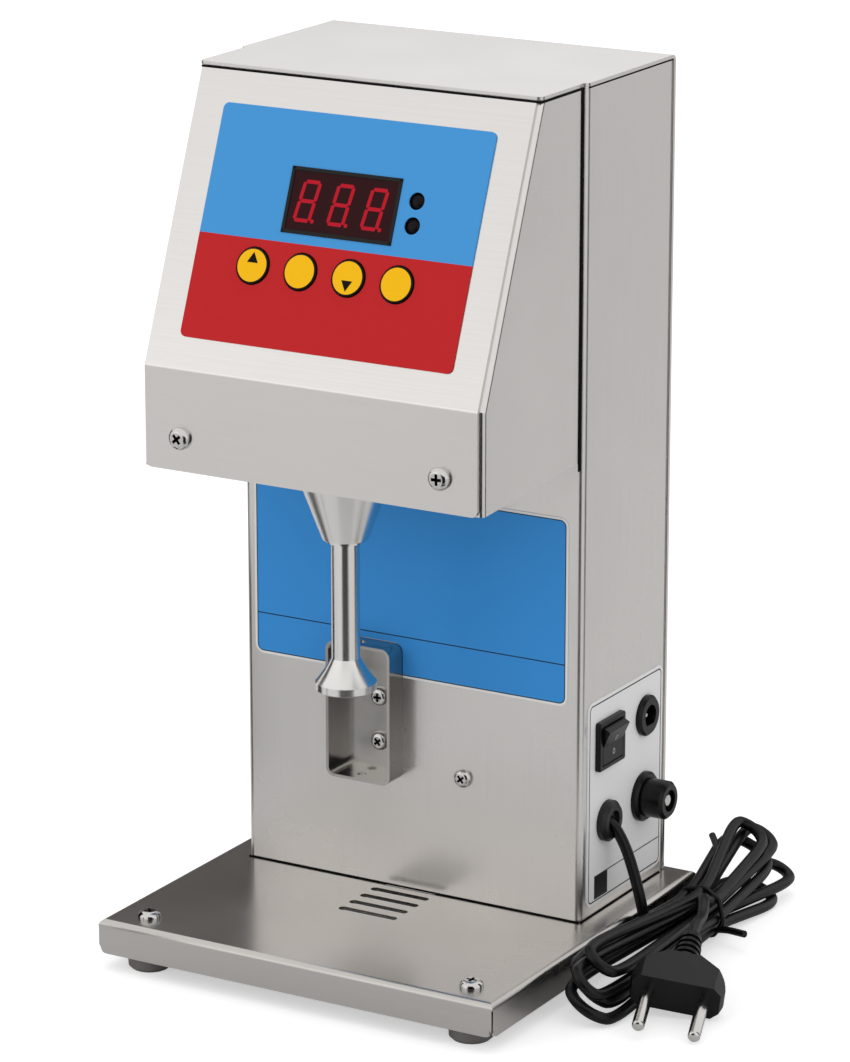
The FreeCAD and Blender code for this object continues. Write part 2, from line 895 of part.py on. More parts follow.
def display_module():
    width = display_width - 2 * display_rim - 2 * fit
    height = display_height - 2 * display_rim - 2 * fit
    top = -module_recess
    body = plate(0, -display_drop, width, height, top - module_thickness, top)
    row = height / 2 - 2
    rows = [plate(0, -display_drop + side * row, width - 4, 0.6, board_face, top - module_thickness)
            for side in (-1, 1)]
    return on_slope(joined([body] + rows))


def indicator_lamp_set():
    top = overlay_thickness + 0.1
    lamps = []
    for x, y in lamp_places():
        profile = [
            (0, board_face),
            (1.6, board_face),
            (1.6, top - lamp_height),
            (lamp_flange, top - lamp_height),
            (lamp_flange, top - lamp_height + 1),
            (lamp_radius, top - lamp_height + 1),
            (lamp_radius, top - 1.6),
            (0.86 * lamp_radius, top - 0.8),
            (0.5 * lamp_radius, top - 0.2),
            (0, top),
        ]
        lamps.append(on_slope(turned(profile, x, y)))
    return lamps


def key_cap(x, y):
    top = overlay_thickness + key_proud
    under = -(sheet + key_play)
    flange_radius = key_radius + key_gap + key_flange
    stem_end = board_face + switch_height + plunger_height + key_travel + key_play
    profile = [
        (0, stem_end),
        (key_stem, stem_end),
        (key_stem, under - key_flange_height),
        (flange_radius, under - key_flange_height),
        (flange_radius, under),
        (key_radius, under),
        (key_radius, top - 0.5),
        (key_radius - 0.15, top - 0.2),
        (key_radius - 0.6, top),
        (0, top),
    ]
    return on_slope(turned(profile, x, y))


def key_switch_set():
    switches = []
    for x, y in key_places():
        body = plate(x, y, switch_side, switch_side, board_face, board_face + switch_height)
        plunger = disc(plunger_radius, x, y, board_face, board_face + switch_height + plunger_height)
        switches.append(on_slope(joined([body, plunger])))
    return switches


def control_board():
    middle = -(control_board_drop + control_board_height / 2)
    back = board_face - board_thickness
    board = plate(0, middle, control_board_width, control_board_height, back, board_face, 1)
    return on_slope(board)


def spacer():
    return hexagon(2 * spacer_radius, 0, 0, 0, spacer_length)


def board_spacer_set():
    spacers = []
    for x, y in control_spacer_places():
        one = spacer()
        one.translate(V(x, y, board_face))
        spacers.append(on_slope(one))
    for y, z in driver_spacer_places():
        one = placed(spacer(), V(0, 1, 0), V(0, 0, 1), V(1, 0, 0), V(-column_inner, y, z))
        spacers.append(one)
    return spacers


# Labels and bracket
def column_label():
    middle_z = base_top + front_label_z + front_label_height / 2
    film = plate(
        front_label_x, middle_z, front_label_width, front_label_height, 0, label_thickness, label_corner
    )
    notch = plate(
        bracket_x,
        base_top + bracket_z + bracket_height / 2,
        bracket_width + 2 * label_notch,
        bracket_height + 2 * label_notch,
        -1,
        1,
        bracket_corner,
    )
    return on_front(film.cut(notch))


def side_label():
    """Film on the right wall; the switch, socket, fuse holder and gland sit on it."""
    film = plate(side_label_width / 2, side_label_height / 2, side_label_width, side_label_height,
                 0, label_thickness, label_corner)
    film = on_side(film, (side_label_y, side_label_z), column_side)
    return film.cut(side_openings())


def column_screw():
    return on_front(m3_screw(short_screw_length, column_screw_x, base_top + column_screw_z))


def bracket():
    """Shallow folded holder with a hole above and below."""
    middle = base_top + bracket_z + bracket_height / 2
    outer = plate(bracket_x, middle, bracket_width, bracket_height, 0, bracket_depth, bracket_corner)
    hollow = plate(
        bracket_x,
        middle,
        bracket_width - 2 * bracket_sheet,
        bracket_height - 2 * bracket_sheet,
        bracket_sheet,
        bracket_depth + 1,
        bracket_corner - bracket_sheet,
    )
    cutters = [hollow]
    for z in bracket_screw_z:
        cutters.append(disc(m3_shank + fit, bracket_screw_x, base_top + z, -1, bracket_depth))
    box = on_front(outer.cut(cutters))
    through = Part.makeCylinder(
        bracket_hole,
        2 * bracket_height,
        V(bracket_hole_x, column_front - bracket_depth / 2, middle - bracket_height),
    )
    return box.cut(through)


def bracket_screw_set():
    face = column_front - bracket_sheet
    screws = [m3_screw(short_screw_length, bracket_screw_x, base_top + z) for z in bracket_screw_z]
    return [on_front(screw, face) for screw in screws]


# Rocker switch, in a frame whose origin is the middle of the bezel's back
def rocker_well():
    """Room in which the rocker swings."""
    reach = rocker_radius + rocker_gap
    half = rocker_width / 2 + rocker_gap
    well = Part.makeCylinder(reach, 2 * half, V(-half, 0, rocker_pivot), V(1, 0, 0))
    mouth = block(-half, half, -reach, reach, rocker_pivot, bezel_thickness + 1)
    pivot_reach = half + pivot_length + pivot_fit
    pivots = Part.makeCylinder(
        pivot_radius + pivot_fit, 2 * pivot_reach, V(-pivot_reach, 0, rocker_pivot), V(1, 0, 0)
    )
    return joined([well, mouth, pivots])


def rocker_switch_body():
    bezel = plate(0, 0, bezel_width, bezel_height, 0, bezel_thickness, bezel_corner)
    rim = straight_edges(bezel, lambda c, b: abs(c.z - bezel_thickness) < 0.01)
    bezel = bezel.makeFillet(0.5, rim)
    body = plate(0, 0, switch_body_width, switch_body_height, -switch_body_depth, 0)
    blades = [
        plate(0, side * switch_body_height / 4, blade_width, blade_thickness,
              -switch_body_depth - blade_length, -switch_body_depth)
        for side in (-1, 1)
    ]
    return on_side(joined([bezel, body] + blades).cut(rocker_well()), switch_at, side_face)


def rocker():
    """Dished rocker on two pivots, with its upper end raised."""
    half = rocker_width / 2
    drum = Part.makeCylinder(rocker_radius, rocker_width, V(-half, 0, 0), V(1, 0, 0))
    edge = math.sqrt(rocker_radius ** 2 - rocker_edge ** 2)
    reach = 2 * rocker_radius
    slope = rocker_dish / edge
    above = [
        V(-reach, -reach, rocker_edge + slope * (reach - edge)),
        V(-reach, 0, rocker_edge - rocker_dish),
        V(-reach, reach, rocker_edge + slope * (reach - edge)),
        V(-reach, reach, 2 * reach),
        V(-reach, -reach, 2 * reach),
    ]
    below = block(-reach, reach, -reach, reach, -2 * reach, -3.0)
    drum = drum.cut([prism(above, [0] * 5, V(2 * reach, 0, 0)), below])
    pins = Part.makeCylinder(
        pivot_radius, rocker_width + 2 * (pivot_length + rocker_gap),
        V(-half - pivot_length - rocker_gap, 0, 0), V(1, 0, 0),
    )
    solid = joined([drum, pins])
    solid.rotate(V(0, 0, 0), V(1, 0, 0), rocker_tilt)
    solid.translate(V(0, 0, rocker_pivot))
    return on_side(solid, switch_at, side_face)


# Probe socket, fuse holder and gland, turned pieces that point out of the right wall
def side_nut(neck):
    """Nut on the inside of the right wall, in the frame of the label's face."""
    back = -(sheet + label_thickness)
    nut = hexagon(2 * (neck + side_nut_margin), 0, 0, back - side_nut_height, back)
    return nut.cut(disc(neck + thread_fit, 0, 0, back - 2 * side_nut_height, 0))


def probe_socket():
    profile = [
        (0, -socket_depth),
        (socket_neck, -socket_depth),
        (socket_neck, 0),
        (socket_flange, 0),
        (socket_flange, 0.6 * socket_flange_height),
        (0.88 * socket_flange, socket_flange_height),
        (0, socket_flange_height),
    ]
    bore = disc(socket_bore, 0, 0, socket_flange_height - socket_bore_depth, socket_flange_height + 1)
    flat = block(-socket_bore, socket_bore, -2 * socket_bore, -socket_flat, -socket_depth, socket_depth)
    pin_seat = disc(socket_pin_radius, 0, 0, -socket_depth - 1, 0)
    return on_side(turned(profile).cut([bore.cut(flat), pin_seat]), socket_at, side_face)


def probe_socket_pin():
    bottom = socket_flange_height - socket_bore_depth
    tip = bottom + socket_pin_length
    profile = [
        (0, -socket_depth - 3),
        (socket_pin_radius, -socket_depth - 3),
        (socket_pin_radius, tip - 0.8),
        (0.5 * socket_pin_radius, tip),
        (0, tip),
    ]
    return on_side(turned(profile), socket_at, side_face)


def fuse_holder():
    profile = [
        (0, -fuse_depth),
        (fuse_contact_radius, -fuse_depth),
        (fuse_contact_radius, -fuse_depth + fuse_contact_length),
        (fuse_neck, -fuse_depth + fuse_contact_length),
        (fuse_neck, 0),
        (fuse_flange, 0),
        (fuse_flange, 0.6 * fuse_flange_height),
        (0.9 * fuse_flange, fuse_flange_height),
        (0, fuse_flange_height),
    ]
    stem_room = disc(
        fuse_stem_radius + fuse_running_fit, 0, 0,
        fuse_flange_height - fuse_stem_length - 1, fuse_flange_height + 1,
    )
    fuse_room = disc(fuse_radius + 0.4, 0, 0, fuse_bottom() - 1, fuse_flange_height)
    return on_side(turned(profile).cut([stem_room, fuse_room]), fuse_at, side_face)


def fuse_bottom():
    """Inner end of the fuse; its outer end sits in the cap's stem."""
    return fuse_flange_height - fuse_stem_length + fuse_grip - fuse_length


def fuse_cap():
    face = fuse_flange_height + 0.1
    tip = fuse_flange_height + fuse_cap_length
    profile = [
        (0, fuse_flange_height - fuse_stem_length),
        (fuse_stem_radius, fuse_flange_height - fuse_stem_length),
        (fuse_stem_radius, face),
        (fuse_cap_radius, face),
        (fuse_cap_radius, tip - 1.0),
        (fuse_cap_radius - 1.0, tip),
        (fuse_cap_recess, tip),
        (fuse_cap_recess, tip - fuse_cap_recess_depth),
        (0, tip - fuse_cap_recess_depth),
    ]
    seat = disc(fuse_radius + fuse_running_fit, 0, 0, fuse_bottom(), fuse_bottom() + fuse_length + 0.3)
    slot = block(
        -fuse_slot / 2, fuse_slot / 2, -fuse_cap_recess, fuse_cap_recess, tip - 2 * fuse_cap_recess_depth, tip
    )
    return on_side(turned(profile).cut([seat, slot]), fuse_at, side_face)


def fuse():
    low = fuse_bottom()
    high = low + fuse_length
    cap = fuse_end_cap
    profile = [
        (0, low),
        (fuse_radius, low),
        (fuse_radius, low + cap),
        (fuse_radius - 0.2, low + cap),
        (fuse_radius - 0.2, high - cap),
        (fuse_radius, high - cap),
        (fuse_radius, high),
        (0, high),
    ]
    return on_side(turned(profile), fuse_at, side_face)


def cord_gland():
    back = -(sheet + label_thickness)
    profile = [
        (0, back - gland_collar_height),
        (gland_collar - 0.8, back - gland_collar_height),
        (gland_collar, back - 0.1),
        (gland_neck, back - 0.1),
        (gland_neck, 0),
        (gland_radius, 0),
        (gland_radius, gland_height - gland_edge),
        (gland_radius - gland_edge, gland_height),
        (gland_recess, gland_height),
        (gland_recess - 0.4, gland_height - gland_recess_depth),
        (0, gland_height - gland_recess_depth),
    ]
    return on_side(turned(profile), gland_at, side_face).cut(cord_tube(cord_route))


# Cord, hank, tie and plug
def corner_radii(route):
    """Each arc is as large as its two runs allow."""
    radii = [0.0]
    for before, corner, after in zip(route, route[1:], route[2:]):
        turn = (corner - before).getAngle(after - corner)
        shorter = min(before.distanceToPoint(corner), corner.distanceToPoint(after))
        radii.append(0.45 * shorter / math.tan(turn / 2))
    return radii + [0.0]


def cord_tube(route):
    path = rounded_wire(route, corner_radii(route), closed=False)
    start = (route[1] - route[0]).normalize()
    section = Part.Wire(Part.Circle(route[0], start, cord_radius).toShape())
    return path.makePipeShell([section], True, False, 2)


def cord_report(name, route):
    """Print the radii, and the tube's volume beside its section times its length."""
    path = rounded_wire(route, corner_radii(route), closed=False)
    expected = math.pi * cord_radius ** 2 * path.Length
    radii = ", ".join("%.1f" % radius for radius in corner_radii(route)[1:-1])
    print("%s: radii %s; volume %.1f of %.1f" % (name, radii, cord_tube(route).Volume, expected))


def ellipse_wire(y, x, z, half_width, half_height):
    """Upright ellipse across the hank."""
    circle = Part.Wire(Part.Circle(V(0, 0, 0), V(0, 1, 0), 1.0).toShape())
    stretch = FreeCAD.Matrix()
    stretch.scale(half_width, 1.0, half_height)
    stretch.move(V(x, y, z))
    return circle.transformGeometry(stretch)


def cord_hank():
    """Outer shape of the tied turns, wide at both ends and narrow at the tie."""
    return Part.makeLoft([ellipse_wire(*section) for section in hank_sections], True, True)


def tie_section():
    return hank_sections[tie_section_index]


def strap_end(root, reach):
    """Flat end of the tie, from a point on its band."""
    length = reach.Length
    strap = block(0, length, -tie_width / 2, tie_width / 2, -tie_thickness / 2, tie_thickness / 2)
    across = V(0, 1, 0)
    return placed(strap, reach, across, reach.cross(across), root)


def cord_tie():
    """Band around the hank's waist, with its two ends."""
    y, x, z, half_width, half_height = tie_section()
    inner = (half_width + tie_gap, half_height + tie_gap)
    outer = (inner[0] + tie_thickness, inner[1] + tie_thickness)
    start = y - tie_width / 2
    along = V(0, tie_width, 0)
    ring = Part.Face(ellipse_wire(start, x, z, *outer)).extrude(along)
    hole = Part.Face(ellipse_wire(start, x, z, *inner)).extrude(along)
    middle = (inner[0] + outer[0]) / 2, (inner[1] + outer[1]) / 2
    ends = []
    for angle, tail in ((tie_angle_low, tie_tail_low), (tie_angle_high, tie_tail_high)):
        turn = math.radians(angle)
        root = V(x + middle[0] * math.cos(turn), y, z + middle[1] * math.sin(turn))
        ends.append(strap_end(root, tail))
    return joined([ring.cut(hole)] + ends)


def on_plug(shape):
    """Local y runs from the plug's face to its neck and x along the pair of pins."""
    moved = shape.copy()
    moved.rotate(V(0, 0, 0), V(0, 1, 0), plug_roll)
    moved.rotate(V(0, 0, 0), V(1, 0, 0), plug_pitch)
    moved.rotate(V(0, 0, 0), V(0, 0, 1), plug_turn)
    moved.translate(plug_place)
    return moved


def plug_body():
    half = plug_width / 2
    low = -plug_height / 2
    face = rectangle(-half, half, low, -low)
    section = [V(p.x, 0, p.y) for p in face]
    bar = Part.Face(rounded_wire(section, [0] * 4)).extrude(V(0, plug_length, 0))
    long_edges = straight_edges(bar, lambda c, b: abs(abs(c.x) - half) < 0.01 and abs(abs(c.z) + low) < 0.01)
    bar = bar.makeChamfer(plug_chamfer, long_edges)
    bell = [
        V(-half + plug_taper, 0, 0),
        V(half - plug_taper, 0, 0),
        V(half, 0.2 * plug_length, 0),
        V(half - plug_taper, 0.55 * plug_length, 0),
        V(plug_waist / 2, plug_length, 0),
        V(-plug_waist / 2, plug_length, 0),
        V(-half + plug_taper, 0.55 * plug_length, 0),
        V(-half, 0.2 * plug_length, 0),
    ]
    side, shoulder = plug_side_round, plug_shoulder_round
    rounds = [0, 0, side, shoulder, 0, 0, shoulder, side]
    outline = prism([p + V(0, 0, low) for p in bell], rounds, V(0, 0, plug_height))
    neck = turned(neck_profile())
    neck.rotate(V(0, 0, 0), V(1, 0, 0), -90)
    seats = [
        Part.makeCylinder(pin_radius, pin_root + 1, V(side * pin_spacing / 2, -1, 0), V(0, 1, 0))
        for side in (-1, 1)
    ]
    return on_plug(joined([bar.common(outline), neck]).cut(seats))


def neck_profile():
    """Flexible neck with ribs, along z from inside the body."""
    start = plug_length - 3
    end = plug_length + neck_length
    rib_start = plug_length + 2
    pitch = (end - 1 - rib_start) / neck_ribs

    def radius(z):
        share = (z - plug_length) / neck_length
        return neck_base_radius + (neck_tip_radius - neck_base_radius) * share

    profile = [(0, start), (neck_base_radius - 0.5, start), (neck_base_radius, plug_length)]
    for i in range(neck_ribs):
        z = rib_start + i * pitch
        valley = radius(z) - neck_rib_depth
        end_of_valley = z + 0.4 * pitch
        profile += [(radius(z), z), (valley, z + 0.1)]
        profile += [(valley, end_of_valley), (radius(z), end_of_valley + 0.1)]
    profile += [(radius(end), end), (0, end)]
    return profile


def plug_pin_set():
    pins = []
    for side in (-1, 1):
        start = V(side * pin_spacing / 2, -pin_length, 0)
        pin = Part.makeCylinder(pin_radius, pin_length + pin_root, start, V(0, 1, 0))
        tip = straight_edges(pin, lambda c, b: abs(b.YMax + pin_length) < 0.01)
        pins.append(on_plug(pin.makeFillet(pin_tip_round, tip)))
    return pins


def neck_end():
    """Where the cord leaves the plug's neck, and its direction there."""
    tip = Part.Vertex(V(0, plug_length + neck_length, 0))
    root = Part.Vertex(V(0, plug_length, 0))
    end = on_plug(tip).Point
    start = on_plug(root).Point
    return end, (end - start).normalize()


def plug_lead():
    """Cord from the hank to the plug's neck."""
    end, direction = neck_end()
    return plug_lead_route + [end + direction * plug_lead_run, end]


# Horn and transducer
def horn():
    tip = horn_tip_z
    rim = tip + horn_rim_height
    flare = rim + horn_flare_height
    cone = horn_rod_top + horn_collar_height
    seat = floor_z + floor_thickness
    top = seat + horn_flange_height + horn_upper_height
    points = [V(0, 0, tip), V(horn_rim_radius - horn_edge, 0, tip), V(horn_rim_radius, 0, tip + horn_edge)]
    points += [V(horn_rim_radius, 0, rim)]
    middle = (horn_rim_radius + horn_rod_radius) / 2 - horn_flare_sag
    arc = Part.Arc(
        V(horn_rim_radius, 0, rim), V(middle, 0, (rim + flare) / 2), V(horn_rod_radius, 0, flare)
    )
    upper = [
        V(horn_rod_radius, 0, flare),
        V(horn_rod_radius, 0, horn_rod_top),
        V(horn_collar_radius, 0, horn_rod_top),
        V(horn_collar_radius, 0, cone),
        V(horn_cone_radius, 0, cone),
        V(horn_body_radius, 0, horn_body_z),
        V(horn_body_radius, 0, seat),
        V(horn_flange_radius, 0, seat),
        V(horn_flange_radius, 0, seat + horn_flange_height),
        V(piezo_radius, 0, seat + horn_flange_height),
        V(piezo_radius, 0, top),
        V(0, 0, top),
        V(0, 0, tip),
    ]
    edges = [Part.LineSegment(a, b).toShape() for a, b in zip(points, points[1:])]
    edges.append(arc.toShape())
    edges += [Part.LineSegment(a, b).toShape() for a, b in zip(upper, upper[1:])]
    solid = Part.Face(Part.Wire(edges)).revolve(V(0, 0, 0), V(0, 0, 1), 360)
    solid.translate(V(0, horn_y, 0))
    cutters = [disc(bolt_radius + thread_fit, 0, horn_y, top - bolt_depth, top + 1)]
    for side in (-1, 1):
        near, far = sorted((side * horn_flange_flat, side * 2 * horn_flange_radius))
        cutters.append(block(-horn_flange_radius, horn_flange_radius, horn_y + near, horn_y + far, seat, top))
    cutters += [disc(m3_shank + fit, x, y, seat - 1, top) for x, y in horn_screw_places()]
    return solid.cut(cutters)


def horn_screw_set():
    screws = []
    for x, y in horn_screw_places():
        one = m3_screw(horn_flange_height + floor_thickness + 1, x, y)
        one.translate(V(0, 0, floor_z + floor_thickness + horn_flange_height))
        screws.append(one)
    return screws


def transducer_bottom():
    return floor_z + floor_thickness + horn_flange_height + horn_upper_height


def piezo_ring_set():
    rings = []
    for i in range(piezo_count):
        z = transducer_bottom() + i * piezo_height
        ring = disc(piezo_radius, 0, horn_y, z, z + piezo_height)
        rings.append(ring.cut(disc(piezo_bore, 0, horn_y, z - 1, z + piezo_height + 1)))
    return rings


def back_mass():
    z = transducer_bottom() + piezo_count * piezo_height
    mass = disc(piezo_radius, 0, horn_y, z, z + back_mass_height)
    rim = straight_edges(mass, lambda c, b: b.ZMin > z + back_mass_height - 0.01)
    return mass.makeChamfer(1.0, rim).cut(disc(bolt_radius + fit, 0, horn_y, z - 1, z + back_mass_height + 1))


def centre_bolt():
    z = transducer_bottom() + piezo_count * piezo_height + back_mass_height
    head = disc(bolt_head_radius, 0, horn_y, z, z + bolt_head_height)
    socket = hexagon(6.0, 0, horn_y, z + 2, z + bolt_head_height + 1)
    shank = disc(bolt_radius, 0, horn_y, transducer_bottom() - bolt_depth + 0.5, z + 0.5)
    return joined([head, shank]).cut(socket)


# Inside the column
def transformer_core():
    """Stack of laminations with two windows beside the middle limb."""
    low = base_top
    x0, x1 = core_x - core_stack / 2, core_x + core_stack / 2
    core = block(x0, x1, core_y - core_width / 2, core_y + core_width / 2, low, low + core_height)
    window_height = core_height - 2 * core_limb
    window_width = (core_width - 4 * core_limb) / 2
    cutters = []
    for side in (-1, 1):
        middle = core_y + side * (core_limb + window_width / 2)
        cutters.append(
            block(x0 - 1, x1 + 1, middle - window_width / 2, middle + window_width / 2,
                  low + core_limb, low + core_limb + window_height)
        )
    return core.cut(cutters)


def transformer_winding():
    """Winding on a bobbin around the middle limb."""
    low = base_top + core_limb + winding_margin
    high = base_top + core_height - core_limb - winding_margin
    window_width = (core_width - 4 * core_limb) / 2
    half = core_limb + window_width - winding_margin
    left, right = core_x - winding_width / 2, core_x + winding_width / 2
    outline = rectangle(left, right, core_y - half, core_y + half, low)
    winding = prism(outline, [2] * 4, V(0, 0, high - low))
    limb = block(
        core_x - core_stack / 2 - winding_margin, core_x + core_stack / 2 + winding_margin,
        core_y - core_limb - winding_margin, core_y + core_limb + winding_margin, low - 1, high + 1,
    )
    return winding.cut(limb)


def driver_board():
    x = -column_inner + spacer_length
    half = driver_board_width / 2
    return block(
        x, x + board_thickness, driver_board_y - half, driver_board_y + half,
        driver_board_z, driver_board_z + driver_board_height,
    )


def heat_sink():
    """Finned block on the driver board."""
    x = -column_inner + spacer_length + board_thickness
    middle = driver_board_z + driver_board_height / 2
    y0 = driver_board_y - sink_width / 2
    body = block(x, x + sink_depth, y0, y0 + sink_width, middle - sink_height / 2, middle + sink_height / 2)
    gap = (sink_width - sink_fins * sink_fin) / (sink_fins - 1)
    cutters = []
    for i in range(sink_fins - 1):
        start = y0 + sink_fin + i * (sink_fin + gap)
        cutters.append(
            block(x + sink_base, x + sink_depth + 1, start, start + gap,
                  middle - sink_height / 2 - 1, middle + sink_height / 2 + 1)
        )
    return body.cut(cutters)


def all_parts():
    """Every node, by name."""
    hank = cord_hank()
    lead = plug_lead()
    cord_report("power_cord", cord_route)
    cord_report("plug_lead", lead)
    parts = {
        "base_tray": base_tray(),
        "foot_screws": Part.makeCompound(foot_screw_set()),
        "foot_nuts": Part.makeCompound(foot_nut_set()),
        "column_shell": column_shell(),
        "column_base_screws": Part.makeCompound(column_base_screw_set()),
        "top_rear_cover": top_rear_cover(),
        "rear_cover_screws": Part.makeCompound(rear_cover_screw_set()),
        "head_shell": head_shell(),
        "head_floor": head_floor(),
        "head_mount_screws": Part.makeCompound(head_screw_set()),
        "front_cover": front_cover(),
        "front_cover_screws": Part.makeCompound(front_cover_screw_set()),
        "control_overlay": control_overlay(),
        "display_window": display_window(),
        "display_module": display_module(),
        "indicator_lamps": Part.makeCompound(indicator_lamp_set()),
        "key_switches": Part.makeCompound(key_switch_set()),
        "control_board": control_board(),
        "board_spacers": Part.makeCompound(board_spacer_set()),
        "column_label": column_label(),
        "side_label": side_label(),
        "column_screw": column_screw(),
        "bracket": bracket(),
        "bracket_screws": Part.makeCompound(bracket_screw_set()),
        "rocker_switch_body": rocker_switch_body(),
        "rocker": rocker(),
        "probe_socket": probe_socket(),
        "probe_socket_pin": probe_socket_pin(),
        "probe_socket_nut": on_side(side_nut(socket_neck), socket_at, side_face),
        "fuse_holder": fuse_holder(),
        "fuse_holder_nut": on_side(side_nut(fuse_neck), fuse_at, side_face),
        "fuse_cap": fuse_cap(),
        "fuse": fuse(),
        "cord_gland": cord_gland(),
        "power_cord": cord_tube(cord_route).cut(hank),
        "cord_hank": hank,
        "cord_tie": cord_tie(),
        "plug_lead": cord_tube(lead).cut(hank),
        "plug_body": plug_body(),
        "plug_pins": Part.makeCompound(plug_pin_set()),
        "horn": horn(),
        "horn_screws": Part.makeCompound(horn_screw_set()),
        "piezo_rings": Part.makeCompound(piezo_ring_set()),
        "back_mass": back_mass(),
        "centre_bolt": centre_bolt(),
        "transformer_core": transformer_core(),
        "transformer_winding": transformer_winding(),
        "driver_board": driver_board(),
        "heat_sink": heat_sink(),
    }
    for i, (x, y, _) in enumerate(foot_places()):
        parts["foot_%d" % (i + 1)] = foot(x, y)
    for i, (x, y) in enumerate(key_places()):
        parts["key_%d" % (i + 1)] = key_cap(x, y)
    return parts


os.makedirs("parts", exist_ok=True)
for name, shape in all_parts().items():
    if not shape.isValid():
        print("not valid:", name)
    shape.exportStep("parts/%s.step" % name)
    box = shape.BoundBox
    print("%-22s solids %d faces %3d volume %10.1f  x %.1f %.1f  y %.1f %.1f  z %.1f %.1f" % (
        name, len(shape.Solids), len(shape.Faces), shape.Volume,
        box.XMin, box.XMax, box.YMin, box.YMax, box.ZMin, box.ZMax))
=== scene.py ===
"""Looks of a bench stirrer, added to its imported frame.

Metres, in the frame of the model: X to the right, Y to the back, Z up, origin on the table.
The keys and the sloped panel face the front, and the switch and the cord are on the right.
"""

import math

import bpy
from mathutils import Euler, Matrix, Vector


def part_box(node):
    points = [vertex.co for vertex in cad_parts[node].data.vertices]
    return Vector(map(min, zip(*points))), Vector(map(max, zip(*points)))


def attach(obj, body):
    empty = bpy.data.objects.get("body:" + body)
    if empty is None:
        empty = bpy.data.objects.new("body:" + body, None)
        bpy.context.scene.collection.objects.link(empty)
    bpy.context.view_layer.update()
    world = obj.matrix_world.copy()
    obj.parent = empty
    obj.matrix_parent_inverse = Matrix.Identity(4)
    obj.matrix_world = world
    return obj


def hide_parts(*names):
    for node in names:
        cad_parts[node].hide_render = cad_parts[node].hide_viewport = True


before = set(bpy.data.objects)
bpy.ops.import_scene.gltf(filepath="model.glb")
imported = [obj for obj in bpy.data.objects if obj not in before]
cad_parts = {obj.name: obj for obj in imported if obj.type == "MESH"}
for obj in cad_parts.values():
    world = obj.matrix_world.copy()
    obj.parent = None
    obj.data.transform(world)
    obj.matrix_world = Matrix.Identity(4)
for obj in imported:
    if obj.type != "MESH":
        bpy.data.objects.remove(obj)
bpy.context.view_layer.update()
mm = 0.001


# Base tray, column, head and covers
# Folded from stainless steel sheet a little over a millimetre thick and spot welded inside.
# The sheet was brushed before bending, which leaves fine parallel scratches and a soft sheen.
def linear(code):
    """Linear colour of an sRGB hex value."""
    parts = [int(code[i:i + 2], 16) / 255 for i in (1, 3, 5)]
    return [p / 12.92 if p <= 0.04045 else ((p + 0.055) / 1.055) ** 2.4 for p in parts] + [1.0]


def new_material(name):
    """Material with nothing but its output node."""
    material = bpy.data.materials.new(name)
    material.use_nodes = True
    material.node_tree.nodes.clear()
    return material


def add(material, kind, sockets=None, **settings):
    """Adds a node. A socket that is given another node's output is linked to it."""
    node = material.node_tree.nodes.new(kind)
    for name, value in settings.items():
        setattr(node, name, value)
    for name, value in (sockets or {}).items():
        if isinstance(value, bpy.types.NodeSocket):
            material.node_tree.links.new(value, node.inputs[name])
        else:
            node.inputs[name].default_value = value
    return node


def surface(material, sockets):
    """Ends a material in a principled shader."""
    shader = add(material, "ShaderNodeBsdfPrincipled", sockets)
    add(material, "ShaderNodeOutputMaterial", {"Surface": shader.outputs["BSDF"]})
    return material


def dress(material, *names):
    """Gives a material to CAD nodes."""
    for name in names:
        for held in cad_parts[name].material_slots:
            held.material = material


def brushed_steel(name, along, dull=0.0, tone=("#D8D5D2", "#E2DFDC")):
    """Stainless steel with scratches 0.3 mm apart and 40 mm long, along one axis.

    dull is added to the roughness, and tone holds the darkest and the lightest colour.
    """
    steel = new_material(name)
    place = add(steel, "ShaderNodeTexCoord").outputs["Object"]
    scale = [1 / (40 * mm) if axis == along else 1 / (0.3 * mm) for axis in "XYZ"]
    squeezed = add(steel, "ShaderNodeMapping", {"Vector": place, "Scale": scale})
    scratch = add(
        steel, "ShaderNodeTexNoise", {"Vector": squeezed.outputs["Vector"], "Scale": 1.0, "Detail": 3.0}
    )
    haze = add(steel, "ShaderNodeTexNoise", {"Vector": place, "Scale": 22.0, "Detail": 3.0})
    shade = add(
        steel, "ShaderNodeMix",
        {0: scratch.outputs["Fac"], 6: linear(tone[0]), 7: linear(tone[1])}, data_type="RGBA",
    )
    sheen = add(steel, "ShaderNodeMapRange", {
        "Value": haze.outputs["Fac"],
        "From Min": 0.3, "From Max": 0.7, "To Min": 0.2 + dull, "To Max": 0.28 + dull,
    })
    relief = add(
        steel, "ShaderNodeBump", {"Height": scratch.outputs["Fac"], "Strength": 0.2, "Distance": 0.015 * mm}
    )
    return surface(steel, {
        "Base Color": shade.outputs[2],
        "Metallic": 1.0,
        "Roughness": sheen.outputs["Result"],
        "Normal": relief.outputs["Normal"],
    })


upright_steel = brushed_steel("brushed_stainless_upright", "Z")
level_steel = brushed_steel("brushed_stainless_level", "X")
dress(brushed_steel("brushed_stainless_column", "Z", 0.06), "column_shell")
dress(brushed_steel("brushed_stainless_base", "X", 0.0, ("#BFBBB7", "#CAC6C2")), "base_tray")
dress(upright_steel, "head_shell", "top_rear_cover")
dress(level_steel, "front_cover", "head_floor")


